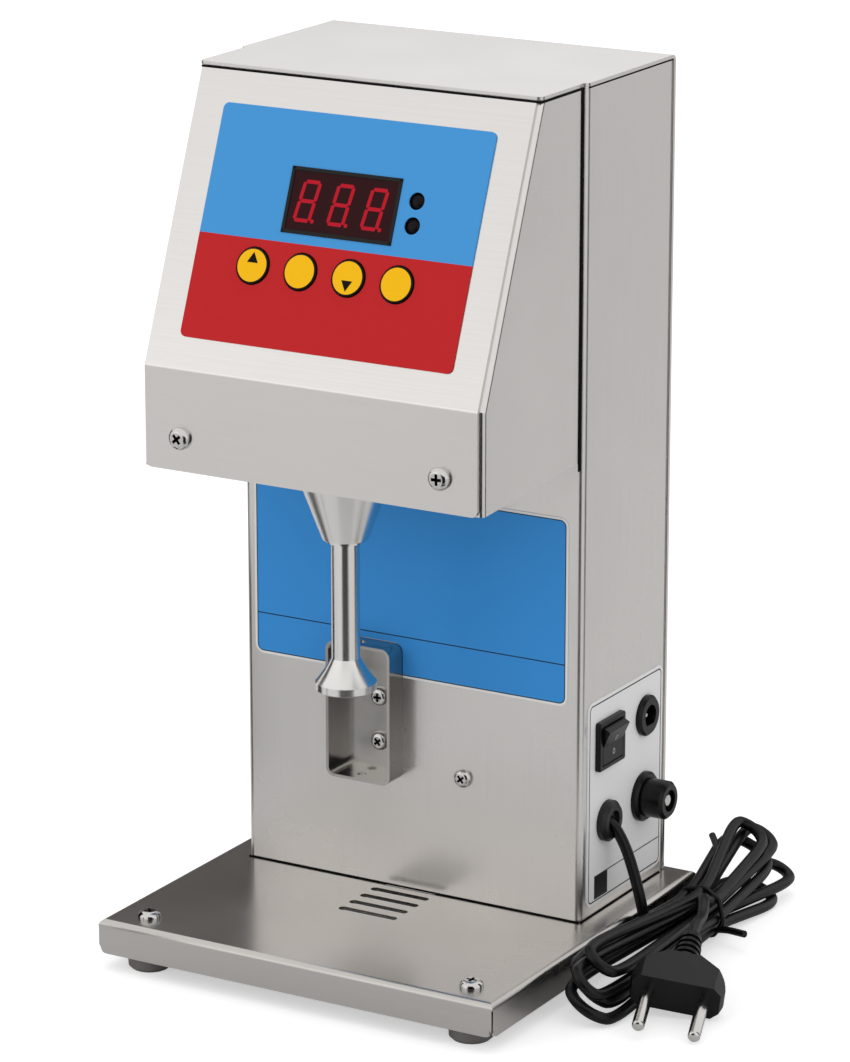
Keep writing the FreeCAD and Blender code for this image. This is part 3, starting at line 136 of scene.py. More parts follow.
# Rubber feet
# Moulded grey rubber feet under the base, each with a screw through it. Rubber is matt with a
# soft sheen and a fine grain.
def moulded_rubber(name, code):
    """Rubber with a grain of 0.4 mm."""
    rubber = new_material(name)
    place = add(rubber, "ShaderNodeTexCoord").outputs["Object"]
    grain = add(rubber, "ShaderNodeTexNoise", {"Vector": place, "Scale": 1 / (0.4 * mm), "Detail": 2.0})
    relief = add(
        rubber, "ShaderNodeBump", {"Height": grain.outputs["Fac"], "Strength": 0.3, "Distance": 0.05 * mm}
    )
    return surface(rubber, {
        "Base Color": linear(code), "Roughness": 0.42, "Normal": relief.outputs["Normal"],
        "Specular IOR Level": 0.4,
    })


dress(moulded_rubber("moulded_grey_rubber", "#6E6B68"), "foot_1", "foot_2", "foot_3", "foot_4")
dress(moulded_rubber("moulded_black_rubber", "#111112"), "cord_gland")


# Screws
# Pan head screws with a cross recess, cold formed from steel and plated bright.
plated_steel = new_material("bright_plated_steel")
plated_place = add(plated_steel, "ShaderNodeTexCoord").outputs["Object"]
plated_haze = add(plated_steel, "ShaderNodeTexNoise", {"Vector": plated_place, "Scale": 900.0, "Detail": 2.0})
plated_sheen = add(
    plated_steel, "ShaderNodeMapRange", {"Value": plated_haze.outputs["Fac"], "To Min": 0.08, "To Max": 0.24}
)
surface(plated_steel, {
    "Base Color": linear("#CFCDCA"), "Metallic": 1.0, "Roughness": plated_sheen.outputs["Result"],
})
dress(plated_steel, "foot_nuts", "column_base_screws", "head_mount_screws", "horn_screws", "centre_bolt")

# The faces inside the cross recess get a dark steel: painted shade, darkening the recess where shade falls.
recess_painted_shade_steel = new_material("painted_shade_in_the_screw_recess")
recess_place = add(recess_painted_shade_steel, "ShaderNodeTexCoord").outputs["Object"]
recess_grain = add(recess_painted_shade_steel, "ShaderNodeTexNoise", {"Vector": recess_place, "Scale": 3000.0})
recess_painted_shade_tone = add(
    recess_painted_shade_steel, "ShaderNodeMix",
    {0: recess_grain.outputs["Fac"], 6: linear("#1C1B1A"), 7: linear("#3A3937")}, data_type="RGBA",
)
surface(recess_painted_shade_steel, {"Base Color": recess_painted_shade_tone.outputs[2], "Metallic": 1.0, "Roughness": 0.45})


def deselect():
    bpy.ops.object.select_all(action="DESELECT")


def apply_place(piece):
    """Puts a piece's place into its mesh."""
    deselect()
    piece.select_set(True)
    bpy.context.view_layer.objects.active = piece
    bpy.ops.object.transform_apply(location=True, rotation=True, scale=True)


def finish_piece(piece, name, body, material):
    """Names a finished piece, gives it its material, if any, and lets it ride on a body."""
    apply_place(piece)
    piece.name = name
    if material:
        piece.data.materials.clear()
        piece.data.materials.append(material)
    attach(piece, body)
    return piece


def apply_modifiers(piece):
    deselect()
    piece.select_set(True)
    bpy.context.view_layer.objects.active = piece
    for modifier in list(piece.modifiers):
        bpy.ops.object.modifier_apply(modifier=modifier.name)


def select_where(piece, test, mode="VERT"):
    """Goes into edit mode with only those vertices or faces selected that pass the test."""
    bpy.context.view_layer.objects.active = piece
    deselect()
    piece.select_set(True)
    bpy.ops.object.mode_set(mode="EDIT")
    bpy.ops.mesh.select_mode(type=mode)
    bpy.ops.mesh.select_all(action="DESELECT")
    bpy.ops.object.mode_set(mode="OBJECT")
    parts = piece.data.vertices if mode == "VERT" else piece.data.polygons
    for part in parts:
        part.select = test(part)
    bpy.ops.object.mode_set(mode="EDIT")


def object_mode():
    bpy.ops.object.mode_set(mode="OBJECT")


def cross_cutter(size, depth):
    """Tapered cross that leaves the recess of a screw's head."""
    blades = []
    for turn in (0, 90):
        deselect()
        bpy.ops.mesh.primitive_cube_add(size=1, location=(0, 0, 0))
        blade = bpy.context.active_object
        blade.scale = (size, 0.28 * size, 2 * depth)
        blade.rotation_euler = (0, 0, math.radians(turn))
        apply_place(blade)
        select_where(blade, lambda v: v.co.z < 0)
        bpy.ops.transform.resize(value=(0.45, 0.45, 1))
        object_mode()
        blades.append(blade)
    deselect()
    for blade in blades:
        blade.select_set(True)
    bpy.context.view_layer.objects.active = blades[0]
    bpy.ops.object.join()
    return blades[0]


def pan_screw(head_radius, head_height, shank_radius, length):
    """One screw with its head above z = 0."""
    deselect()
    bpy.ops.mesh.primitive_cylinder_add(
        vertices=48, radius=head_radius, depth=head_height, location=(0, 0, head_height / 2)
    )
    screw = bpy.context.active_object
    apply_place(screw)
    select_where(screw, lambda v: v.co.z > head_height / 2)
    bpy.ops.mesh.bevel(offset=0.75 * head_height, segments=7, profile=0.45, affect="EDGES")
    object_mode()
    select_where(screw, lambda f: f.normal.z < -0.9, "FACE")
    bpy.ops.mesh.inset(thickness=head_radius - shank_radius)
    bpy.ops.mesh.extrude_region_move(TRANSFORM_OT_translate={"value": (0, 0, -length)})
    object_mode()
    cutter = cross_cutter(1.3 * head_radius, 0.7 * head_height)
    cutter.location.z = head_height
    apply_place(cutter)
    cut = screw.modifiers.new("recess", "BOOLEAN")
    cut.operation = "DIFFERENCE"
    cut.solver = "EXACT"
    cut.use_self = True
    cut.object = cutter
    apply_modifiers(screw)
    bpy.data.objects.remove(cutter)
    screw.data.materials.append(plated_steel)
    screw.data.materials.append(recess_painted_shade_steel)
    # faces near the axis inside the cross recess take the second, dark material, which is painted shade
    for face in screw.data.polygons:
        face.use_smooth = True
        near_axis = face.center.xy.length < 0.66 * head_radius
        in_recess = abs(face.normal.z) < 0.5 or face.center.z < 0.5 * head_height
        face.material_index = int(near_axis and in_recess and 0 < face.center.z < 0.98 * head_height)
    deselect()
    screw.select_set(True)
    bpy.context.view_layer.objects.active = screw
    bpy.ops.object.shade_smooth_by_angle(angle=math.radians(35))
    return screw


def place_screws(pattern, node, places, turn):
    """Copies of one screw at the places of a CAD node's screws, which they replace."""
    copies = []
    for i, place in enumerate(places):
        copy = pattern.copy()
        copy.data = pattern.data.copy()
        bpy.context.scene.collection.objects.link(copy)
        seat = Matrix.Translation(place) @ Euler(turn).to_matrix().to_4x4()
        copy.matrix_world = seat @ Matrix.Rotation(0.7 + 0.9 * i, 4, "Z")
        copies.append(copy)
    deselect()
    for copy in copies:
        copy.select_set(True)
    bpy.context.view_layer.objects.active = copies[0]
    if len(copies) > 1:
        bpy.ops.object.join()
    group = finish_piece(copies[0], node + "_with_recess", "stand", None)
    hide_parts(node)
    return group


def centre(node):
    low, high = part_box(node)
    return (low + high) / 2


to_front = (math.radians(90), 0, 0)
to_back = (math.radians(-90), 0, 0)
m4_radius = 3.75 * mm
m3_radius = 3.1 * mm
m4_screw = pan_screw(m4_radius, 2.4 * mm, 2.0 * mm, 13.5 * mm)
m3_screw = pan_screw(m3_radius, 2.0 * mm, 1.5 * mm, 5.5 * mm)
base_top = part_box("base_tray")[1].z
sheet = 1.2 * mm
column_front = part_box("column_shell")[0].y
column_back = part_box("top_rear_cover")[1].y
apron_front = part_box("front_cover")[0].y

foot_middles = [centre("foot_%d" % i) for i in (1, 2, 3, 4)]
foot_tops = [(foot.x, foot.y, base_top + (sheet if foot.y > 0 else 0)) for foot in foot_middles]
place_screws(m4_screw, "foot_screws", foot_tops, (0, 0, 0))
cover_low, cover_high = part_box("front_cover_screws")
cover_z = (cover_low.z + cover_high.z) / 2
place_screws(
    m4_screw, "front_cover_screws",
    [(x, apron_front, cover_z) for x in (cover_low.x + m4_radius, cover_high.x - m4_radius)], to_front,
)
column_screw = centre("column_screw")
place_screws(m3_screw, "column_screw", [(column_screw.x, column_front, column_screw.z)], to_front)
bracket_low, bracket_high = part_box("bracket_screws")
bracket_back = column_front - 1.0 * mm
place_screws(
    m3_screw, "bracket_screws",
    [
        ((bracket_low.x + bracket_high.x) / 2, bracket_back, z)
        for z in (bracket_low.z + m3_radius, bracket_high.z - m3_radius)
    ],
    to_front,
)
rear_low, rear_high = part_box("rear_cover_screws")
rear_sides = (rear_low.x + m3_radius, rear_high.x - m3_radius)
rear_rows = (rear_low.z + m3_radius, (rear_low.z + rear_high.z) / 2, rear_high.z - m3_radius)
place_screws(
    m3_screw, "rear_cover_screws", [(x, column_back, z) for x in rear_sides for z in rear_rows], to_back,
)
bpy.data.objects.remove(m4_screw)
bpy.data.objects.remove(m3_screw)


# Horn, its bolt and the bracket
# The horn is turned from one bar of stainless steel and polished; the tool leaves faint rings.
# The small bracket on the column is bent from polished sheet.
turned_steel = new_material("turned_and_polished_stainless")
turned_place = add(turned_steel, "ShaderNodeTexCoord").outputs["Object"]
ring_scale = add(turned_steel, "ShaderNodeMapping", {"Vector": turned_place, "Scale": (2.0, 2.0, 1 / 0.0004)})
rings = add(
    turned_steel, "ShaderNodeTexNoise", {"Vector": ring_scale.outputs["Vector"], "Scale": 1.0, "Detail": 2.0}
)
ring_relief = add(
    turned_steel, "ShaderNodeBump", {"Height": rings.outputs["Fac"], "Strength": 0.15, "Distance": 0.01 * mm}
)
round_axis = add(turned_steel, "ShaderNodeTangent", direction_type="RADIAL", axis="Z")
surface(turned_steel, {
    "Base Color": linear("#E6E4E1"), "Metallic": 1.0, "Roughness": 0.24,
    "Anisotropic": 0.85, "Anisotropic Rotation": 0.25, "Tangent": round_axis.outputs["Tangent"],
    "Normal": ring_relief.outputs["Normal"],
})
dress(turned_steel, "horn", "back_mass")

bracket_steel_with_painted_shade = new_material("polished_stainless_sheet_with_painted_shade")
polish_place = add(bracket_steel_with_painted_shade, "ShaderNodeTexCoord").outputs["Object"]
smears = add(bracket_steel_with_painted_shade, "ShaderNodeTexNoise", {"Vector": polish_place, "Scale": 120.0, "Detail": 3.0})
smear_sheen = add(
    bracket_steel_with_painted_shade, "ShaderNodeMapRange", {"Value": smears.outputs["Fac"], "To Min": 0.12, "To Max": 0.26}
)
# The base colour is darker than that of the other steel: painted shade, for the shade the bracket sits in and
# the dark reflections it shows.
surface(bracket_steel_with_painted_shade, {
    "Base Color": linear("#B9B6B2"), "Metallic": 1.0, "Roughness": smear_sheen.outputs["Result"],
})
dress(bracket_steel_with_painted_shade, "bracket")


# Inside parts
# Nobody sees these with the covers on: the transformer, the boards, the heat sink and the ceramic rings.
def plain_finish(name, code, roughness, metallic=0.0):
    """Finish with fine cloudy variation in its colour."""
    material = new_material(name)
    place = add(material, "ShaderNodeTexCoord").outputs["Object"]
    clouds = add(material, "ShaderNodeTexNoise", {"Vector": place, "Scale": 300.0, "Detail": 3.0})
    darker = [c * 0.8 for c in linear(code)[:3]] + [1.0]
    shade = add(
        material, "ShaderNodeMix", {0: clouds.outputs["Fac"], 6: darker, 7: linear(code)}, data_type="RGBA"
    )
    return surface(material, {
        "Base Color": shade.outputs[2], "Roughness": roughness, "Metallic": metallic,
    })


dress(plain_finish("varnished_laminations", "#5A5A5C", 0.45, 0.6), "transformer_core")
dress(plain_finish("winding_tape", "#D2B45A", 0.35), "transformer_winding")
dress(plain_finish("circuit_board", "#1F6E45", 0.3), "control_board", "driver_board")
dress(plain_finish("extruded_aluminium", "#C9CACC", 0.35, 1.0), "heat_sink")
dress(plain_finish("fired_ceramic", "#C3BFB4", 0.4), "piezo_rings")
nickel_plate = plain_finish("nickel_plate", "#DAD6CE", 0.18, 1.0)
dress(nickel_plate, "board_spacers", "probe_socket_pin", "probe_socket_nut")
fuse_glass = new_material("fuse_glass")
surface(fuse_glass, {"Base Color": linear("#E6ECEC"), "Roughness": 0.05, "Transmission Weight": 0.8})
dress(fuse_glass, "fuse")


# Moulded black plastic
# Switch, socket and fuse holder are moulded, with a slight shine. The mould gives a fine grain.
def moulded_plastic(name, code, roughness, grain=0.3, gloss=0.5):
    """Plastic with a grain of about 0.3 mm, as drawn; the real one is too fine to show."""
    material = new_material(name)
    place = add(material, "ShaderNodeTexCoord").outputs["Object"]
    grains = add(material, "ShaderNodeTexNoise", {"Vector": place, "Scale": 3500.0, "Detail": 2.0})
    relief = add(material, "ShaderNodeBump", {
        "Height": grains.outputs["Fac"], "Strength": grain, "Distance": 0.02 * mm,
    })
    return surface(material, {
        "Base Color": linear(code), "Roughness": roughness, "Normal": relief.outputs["Normal"],
        "Specular IOR Level": gloss,
    })


black_plastic = moulded_plastic("moulded_black_plastic", "#080808", 0.3, 0.3, 0.25)
dress(
    black_plastic, "rocker_switch_body", "rocker", "probe_socket",
    "fuse_holder", "fuse_holder_nut", "fuse_cap", "key_switches",
)


# Printed labels
# Polyester film printed on its back and glued down. It has rounded corners and a soft gloss.
def label_plane(material, middle, turn):
    """Coordinates on a label: x to the right, y up and z out of it, from its middle."""
    place = add(material, "ShaderNodeTexCoord").outputs["Object"]
    plane = add(
        material, "ShaderNodeMapping", {"Vector": place, "Location": middle, "Rotation": turn},
        vector_type="TEXTURE",
    )
    return plane.outputs["Vector"]


def edge_distance(material, plane, width, height, corner):
    """Distance from the outline of a rounded rectangle, below zero inside."""
    flat = add(material, "ShaderNodeVectorMath", {0: plane, 1: (1, 1, 0)}, operation="MULTIPLY")
    folded = add(material, "ShaderNodeVectorMath", {0: flat.outputs[0]}, operation="ABSOLUTE")
    half = (width / 2 - corner, height / 2 - corner, 0)
    past = add(material, "ShaderNodeVectorMath", {0: folded.outputs[0], 1: half}, operation="SUBTRACT")
    outside = add(material, "ShaderNodeVectorMath", {0: past.outputs[0], 1: (0, 0, 0)}, operation="MAXIMUM")
    reach = add(material, "ShaderNodeVectorMath", {0: outside.outputs[0]}, operation="LENGTH")
    axes = add(material, "ShaderNodeSeparateXYZ", {0: past.outputs[0]})
    longer = add(
        material, "ShaderNodeMath", {0: axes.outputs["X"], 1: axes.outputs["Y"]}, operation="MAXIMUM"
    )
    inside = add(material, "ShaderNodeMath", {0: longer.outputs[0], 1: 0.0}, operation="MINIMUM")
    total = add(
        material, "ShaderNodeMath", {0: reach.outputs["Value"], 1: inside.outputs[0]}, operation="ADD"
    )
    return add(material, "ShaderNodeMath", {0: total.outputs[0], 1: corner}, operation="SUBTRACT").outputs[0]


def band(material, value, low, high):
    """One between low and high, and nought elsewhere."""
    above = add(material, "ShaderNodeMath", {0: value, 1: low}, operation="GREATER_THAN")
    below = add(material, "ShaderNodeMath", {0: value, 1: high}, operation="LESS_THAN")
    return add(
        material, "ShaderNodeMath", {0: above.outputs[0], 1: below.outputs[0]}, operation="MULTIPLY"
    ).outputs[0]


def printed(material, ground, mask, code):
    """The ground colour with ink where the mask is one."""
    mix = add(material, "ShaderNodeMix", {0: mask, 6: ground, 7: linear(code)}, data_type="RGBA")
    return mix.outputs[2]


def film(material, colour):
    """Ends a printed label: a soft gloss over very fine grain."""
    place = add(material, "ShaderNodeTexCoord").outputs["Object"]
    grain = add(material, "ShaderNodeTexNoise", {"Vector": place, "Scale": 2500.0, "Detail": 1.0})
    relief = add(
        material, "ShaderNodeBump", {"Height": grain.outputs["Fac"], "Strength": 0.12, "Distance": 0.01 * mm}
    )
    return surface(material, {
        "Base Color": colour, "Roughness": 0.38, "Specular IOR Level": 0.15,
        "Normal": relief.outputs["Normal"],
    })


label_low, label_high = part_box("column_label")
label_width = label_high.x - label_low.x
label_height = label_high.z - label_low.z
label_middle = ((label_low.x + label_high.x) / 2, 0, (label_low.z + label_high.z) / 2)
blue_label = new_material("printed_blue_film")
blue_plane = label_plane(blue_label, label_middle, (math.radians(90), 0, 0))
label_corner = 3.0 * mm
white_margin = 0.75 * mm
dark_border = 1.1 * mm
rule_above_base = 85.2 * mm
rule_half = 0.2 * mm
blue_edge = edge_distance(blue_label, blue_plane, label_width, label_height, label_corner)
blue_margin = band(blue_label, blue_edge, -white_margin, 1.0)
blue_border = band(blue_label, blue_edge, -dark_border, -white_margin)
blue_colour = printed(blue_label, linear("#3A92DC"), blue_margin, "#E9EAEA")
blue_colour = printed(blue_label, blue_colour, blue_border, "#20303C")
rule_height = base_top + rule_above_base - label_middle[2]
blue_axes = add(blue_label, "ShaderNodeSeparateXYZ", {0: blue_plane})
rule_line = band(blue_label, blue_axes.outputs["Y"], rule_height - rule_half, rule_height + rule_half)
rule_inside = band(blue_label, blue_edge, -1.0, -dark_border)
rule = add(blue_label, "ShaderNodeMath", {0: rule_line, 1: rule_inside}, operation="MULTIPLY")
film(blue_label, printed(blue_label, blue_colour, rule.outputs[0], "#1D3550"))
dress(blue_label, "column_label")

side_low, side_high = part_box("side_label")
side_width = side_high.y - side_low.y
side_height = side_high.z - side_low.z
side_middle = (side_high.x, (side_low.y + side_high.y) / 2, (side_low.z + side_high.z) / 2)
grey_label = new_material("printed_grey_film")
grey_plane = label_plane(grey_label, side_middle, (math.radians(90), 0, math.radians(90)))
border_outer = 1.05 * mm
border_inner = 1.5 * mm
grey_edge = edge_distance(grey_label, grey_plane, side_width, side_height, label_corner)
grey_border = band(grey_label, grey_edge, -border_inner, -border_outer)
grey_colour = printed(grey_label, linear("#E9E9E9"), grey_border, "#1B1B1D")
grey_axes = add(grey_label, "ShaderNodeSeparateXYZ", {0: grey_plane})


def side_field(low_y, high_y, low_z, high_z):
    """One inside a rectangle on the side label, in millimetres of the model's frame."""
    across = band(
        grey_label, grey_axes.outputs["X"], low_y * mm - side_middle[1], high_y * mm - side_middle[1]
    )
    up = band(grey_label, grey_axes.outputs["Y"], low_z * mm - side_middle[2], high_z * mm - side_middle[2])
    return add(grey_label, "ShaderNodeMath", {0: across, 1: up}, operation="MULTIPLY").outputs[0]


grey_colour = printed(grey_label, grey_colour, side_field(14.9, 23.8, 21.6, 29.4), "#18181A")
grey_colour = printed(grey_label, grey_colour, side_field(14.9, 59.0, 29.1, 29.5), "#2A2A2C")
film(grey_label, grey_colour)
dress(grey_label, "side_label")


# Control overlay
# One printed film covers the sloped panel: a blue field above a red one, cut out for the display,
# the two indicators and the keys.
slope_top = Vector((0, -20.0 * mm, 286.5 * mm))
slope_foot = Vector((0, -55.5 * mm, 197.5 * mm))
slope_down = (slope_foot - slope_top).normalized()
slope_tilt = math.atan2(-slope_down.z, -slope_down.y)
slope_out = Vector((0, slope_down.z, -slope_down.y))
slope_turn = (slope_tilt, 0, 0)


def on_slope(x, down, height=0.0):
    """Point on the sloped panel, from the middle of its top edge."""
    return Vector((x, 0, 0)) + slope_top + slope_down * down + slope_out * height


overlay_thickness = 0.5 * mm
red_field_down = 52.8 * mm
overlay = new_material("printed_overlay_film")
overlay_plane = label_plane(overlay, on_slope(0, red_field_down), slope_turn)
overlay_axes = add(overlay, "ShaderNodeSeparateXYZ", {0: overlay_plane})
red_field = band(overlay, overlay_axes.outputs["Y"], -1.0, 0.0)
film(overlay, printed(overlay, linear("#479BDD"), red_field, "#C41F22"))
dress(overlay, "control_overlay")


# Display
# A three-digit module behind a dark red window in a black frame. Its bars stay faintly visible
# when it is off. All distances down the slope are from its top edge.
window_size = (39.0 * mm, 20.7 * mm)
window_down = 39.5 * mm
window_red = moulded_plastic("dark_red_window", "#2E0A0F", 0.15, 0.05, 0.1)
dress(window_red, "display_window")
dress(black_plastic, "display_module")
bar_red = moulded_plastic("dim_red_bars", "#BE1428", 0.3, 0.05, 0.1)
digit_height = 13.4 * mm
digit_width = 6.6 * mm
digit_places = (-12.2 * mm, -0.3 * mm, 11.6 * mm)
bar_width = 1.35 * mm
bar_thickness = 0.08 * mm
lean = math.radians(8)


def slab(outline_vertices, radius, thickness):
    """Thin regular polygon that lies on z = 0."""
    deselect()
    bpy.ops.mesh.primitive_cylinder_add(
        vertices=outline_vertices, radius=radius, depth=thickness, location=(0, 0, thickness / 2)
    )
    piece = bpy.context.active_object
    apply_place(piece)
    return piece


def bar(length):
    """One bar of a digit, pointed at both ends, along x."""
    piece = slab(6, bar_width / 2, bar_thickness)
    piece.rotation_euler.z = math.radians(30)
    apply_place(piece)
    for side in (-1, 1):
        select_where(piece, lambda v: v.co.x * side > 0.1 * bar_width)
        bpy.ops.transform.translate(value=(side * (length - bar_width) / 2, 0, 0))
        object_mode()
    return piece


def digit():
    """Seven bars and a point, leaning to the right."""
    half = digit_height / 2
    gap = 0.25 * mm
    parts = []
    for row in (-1, 0, 1):
        flat = bar(digit_width - bar_width - gap)
        flat.location = (row * half * math.tan(lean), row * (half - bar_width / 2), 0)
        parts.append(flat)
    for row in (-1, 1):
        for side in (-1, 1):
            upright = bar(half - bar_width / 2 - gap)
            upright.rotation_euler.z = math.radians(90) - lean
            y = row * (half - bar_width / 2) / 2
            upright.location = (side * (digit_width - bar_width) / 2 + y * math.tan(lean), y, 0)
            parts.append(upright)
    point = slab(16, 0.65 * mm, bar_thickness)
    point.location = (digit_width / 2 + 0.6 * mm - half * math.tan(lean), -half + bar_width / 2, 0)
    parts.append(point)
    for part in parts:
        apply_place(part)
    deselect()
    for part in parts:
        part.select_set(True)
    bpy.context.view_layer.objects.active = parts[0]
    bpy.ops.object.join()
    return parts[0]


for i, x in enumerate(digit_places):
    figure = digit()
    figure.location = on_slope(x, window_down, overlay_thickness)
    figure.rotation_euler = slope_turn
    finish_piece(figure, "display_digit_%d" % (i + 1), "stand", bar_red)


def frame_bar(name, x, down, width, height):
    """One side of the window's black frame, with rounded edges."""
    deselect()
    bpy.ops.mesh.primitive_cube_add(size=1, location=(0, 0, 0))
    piece = bpy.context.active_object
    piece.scale = (width, height, 0.5 * mm)
    apply_place(piece)
    soft = piece.modifiers.new("soft", "BEVEL")
    soft.width = 0.15 * mm
    soft.segments = 3
    apply_modifiers(piece)
    piece.location = on_slope(x, down, 0.55 * mm)
    piece.rotation_euler = slope_turn
    return piece


frame_width = 1.2 * mm
frame_parts = [
    frame_bar("top", 0, window_down - window_size[1] / 2 + frame_width / 2, window_size[0], frame_width),
    frame_bar("bottom", 0, window_down + window_size[1] / 2 - frame_width / 2, window_size[0], frame_width),
    frame_bar("left", -window_size[0] / 2 + frame_width / 2, window_down, frame_width, window_size[1]),
    frame_bar("right", window_size[0] / 2 - frame_width / 2, window_down, frame_width, window_size[1]),
]
for part in frame_parts:
    apply_place(part)
deselect()
for part in frame_parts:
    part.select_set(True)
bpy.context.view_layer.objects.active = frame_parts[0]
bpy.ops.object.join()
finish_piece(frame_parts[0], "display_frame", "stand", black_plastic)

dress(moulded_plastic("smoked_lamp_lens", "#140E10", 0.3, 0.05, 0.1), "indicator_lamps")


# Keys
# Four round moulded keys, a little proud of the film. The rim and the side of each are printed
# black, and the first and the third carry an arrow.
key_down = 61.2 * mm
key_face = 5.1 * mm       # radius of the yellow part
key_proud = 0.7 * mm      # above the overlay
arrow_size = 2.2 * mm
arrow_rise = 2.0 * mm
key_ink = moulded_plastic("black_key_ink", "#0A0A0A", 0.5, 0.05, 0.1)
for i in (1, 2, 3, 4):
    body = "key_%d" % i
    key_low, key_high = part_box(body)
    key_x = (key_low.x + key_high.x) / 2
    yellow_key = new_material("yellow_key_plastic_%d" % i)
    key_plane = label_plane(yellow_key, on_slope(key_x, key_down), slope_turn)
    flat_key = add(yellow_key, "ShaderNodeVectorMath", {0: key_plane, 1: (1, 1, 0)}, operation="MULTIPLY")
    from_axis = add(yellow_key, "ShaderNodeVectorMath", {0: flat_key.outputs[0]}, operation="LENGTH")
    rim = band(yellow_key, from_axis.outputs["Value"], key_face, 1.0)
    film(yellow_key, printed(yellow_key, linear("#FFC20A"), rim, "#0A0A0A"))
    dress(yellow_key, body)
    if i in (1, 3):
        arrow = slab(3, arrow_size, 0.06 * mm)
        arrow.rotation_euler.z = 0 if i == 1 else math.radians(180)
        apply_place(arrow)
        rise = arrow_rise if i == 1 else -arrow_rise
        arrow.location = on_slope(key_x, key_down - rise, overlay_thickness + key_proud)
        arrow.rotation_euler = slope_turn
        finish_piece(arrow, body + "_arrow", body, key_ink)


# Open joints
# The head, the column and the lid are folded separately and meet with narrow open joints, which
# look black because no light comes out of them. A dark strip stands for what shows of each.
joint_black = moulded_plastic("dark_of_an_open_joint", "#0B0A0A", 0.8, 0.05, 0.1)


def joint_strip(name, low, high):
    """Thin strip between two opposite corners in millimetres, with rounded edges."""
    low, high = Vector(low) * mm, Vector(high) * mm
    deselect()
    bpy.ops.mesh.primitive_cube_add(size=1, location=(low + high) / 2)
    strip = bpy.context.active_object
    strip.scale = high - low
    apply_place(strip)
    soft = strip.modifiers.new("soft", "BEVEL")
    soft.width = 0.1 * mm
    soft.segments = 2
    apply_modifiers(strip)
    finish_piece(strip, name, "stand", joint_black)


# opposite corners, in millimetres of the model's frame
joint_strip("joint_under_lid_front", (-59.2, -20.75, 284.7), (60.6, -20.05, 285.35))
joint_strip("joint_under_lid_side", (60.3, -20.4, 284.6), (60.85, 5.8, 285.35))
joint_strip("joint_of_lid_and_column", (61.8, 7.0, 284.85), (62.12, 62.0, 285.4))
joint_strip("joint_of_head_and_column", (60.3, 4.9, 165.2), (60.85, 6.3, 285.2))
joint_strip("joint_under_column_front", (-61.9, 5.65, 16.45), (61.9, 6.05, 16.95))
joint_strip("joint_under_column_side", (61.95, 6.0, 16.45), (62.3, 60.5, 16.95))


# Marks on the rocker and the end of the fuse holder
# Two small rings are printed on the rocker's two faces, and a metal end shows in the cap's recess.
rocker_print = moulded_plastic("grey_ink", "#B4B4B2", 0.5, 0.05, 0.2)
ring_radius = 0.8 * mm
ring_line = 0.16 * mm
rocker_axis = Vector((62.8, 24.2, 72.7)) * mm
# each ring's place from the rocker's axis, and the angle of the face it is printed on
for name, place, turn in (
    ("rocker_upper_ring", (2.02, 0.2, 1.3), 114.8), ("rocker_lower_ring", (1.33, -0.3, -3.2), 90.8),
):
    deselect()
    bpy.ops.mesh.primitive_torus_add(
        major_radius=ring_radius, minor_radius=ring_line, major_segments=40, minor_segments=8
    )
    ring = bpy.context.active_object
    select_where(ring, lambda v: True)
    bpy.ops.transform.resize(value=(1, 0.8, 0.4))
    object_mode()
    ring.location = rocker_axis + Vector(place) * mm
    ring.rotation_euler = (0, math.radians(turn), 0)
    finish_piece(ring, name, "rocker", rocker_print)

cap_low, cap_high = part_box("fuse_cap")
end_radius = 1.9 * mm
end_thickness = 0.8 * mm
end_recess = 1.0 * mm     # from the cap's outer face to the middle of the metal end
deselect()
bpy.ops.mesh.primitive_cylinder_add(
    vertices=40, radius=end_radius, depth=end_thickness, rotation=(0, math.radians(90), 0),
    location=(cap_high.x - end_recess, (cap_low.y + cap_high.y) / 2, (cap_low.z + cap_high.z) / 2),
)
cap_end = bpy.context.active_object
apply_place(cap_end)
cap_round = cap_end.modifiers.new("round", "BEVEL")
cap_round.width = 0.35 * mm
cap_round.segments = 4
apply_modifiers(cap_end)
finish_piece(cap_end, "fuse_cap_end", "fuse_cap", plated_steel)


# Cord, its tie and its plug
# A thin round cord with a soft black jacket leaves the gland, hangs down beside the column and goes
# into a hank of five turns, which a twisted tie holds. The last run ends in the plug.
cord_radius = 1.85 * mm
jacket = new_material("soft_cord_jacket")
jacket_place = add(jacket, "ShaderNodeTexCoord").outputs["Object"]
jacket_haze = add(jacket, "ShaderNodeTexNoise", {"Vector": jacket_place, "Scale": 400.0, "Detail": 3.0})
jacket_sheen = add(
    jacket, "ShaderNodeMapRange", {"Value": jacket_haze.outputs["Fac"], "To Min": 0.3, "To Max": 0.42}
)
surface(jacket, {
    "Base Color": linear("#080808"), "Roughness": jacket_sheen.outputs["Result"], "Specular IOR Level": 0.28,
})
dress(jacket, "plug_body")
dress(plated_steel, "plug_pins")


def hank_axes(tilt):
    """Unit vectors up the slope that the turns lean on, and out of it."""
    angle = math.radians(tilt)
    return Vector((-math.cos(angle), 0, math.sin(angle))), Vector((math.sin(angle), 0, math.cos(angle)))


down_run = [(58.5, 22.6, 48.2), (64.3, 22.8, 46.0), (68.6, 23.3, 39.4), (71.6, 23.7, 31.0),
            (74.2, 23.6, 22.5), (75.6, 24.5, 14.0), (73.9, 27.8, 8.1), (73.9, 39.8, 6.9)]
plug_run = [(86.4, 43.8, 17.7), (90.0, 38.0, 19.0), (94.0, 29.0, 17.0)]
waist = Vector((82.8, 51.1, 11.1))
waist_slots = [((5.7, -3.9), (-5.7, -3.9)), ((1.9, -3.9), (-1.9, -3.9)), ((5.7, 0), (-5.7, 0)),
               ((1.9, 0), (-1.9, 0)), ((1.9, 3.8), (-1.9, 3.8))]
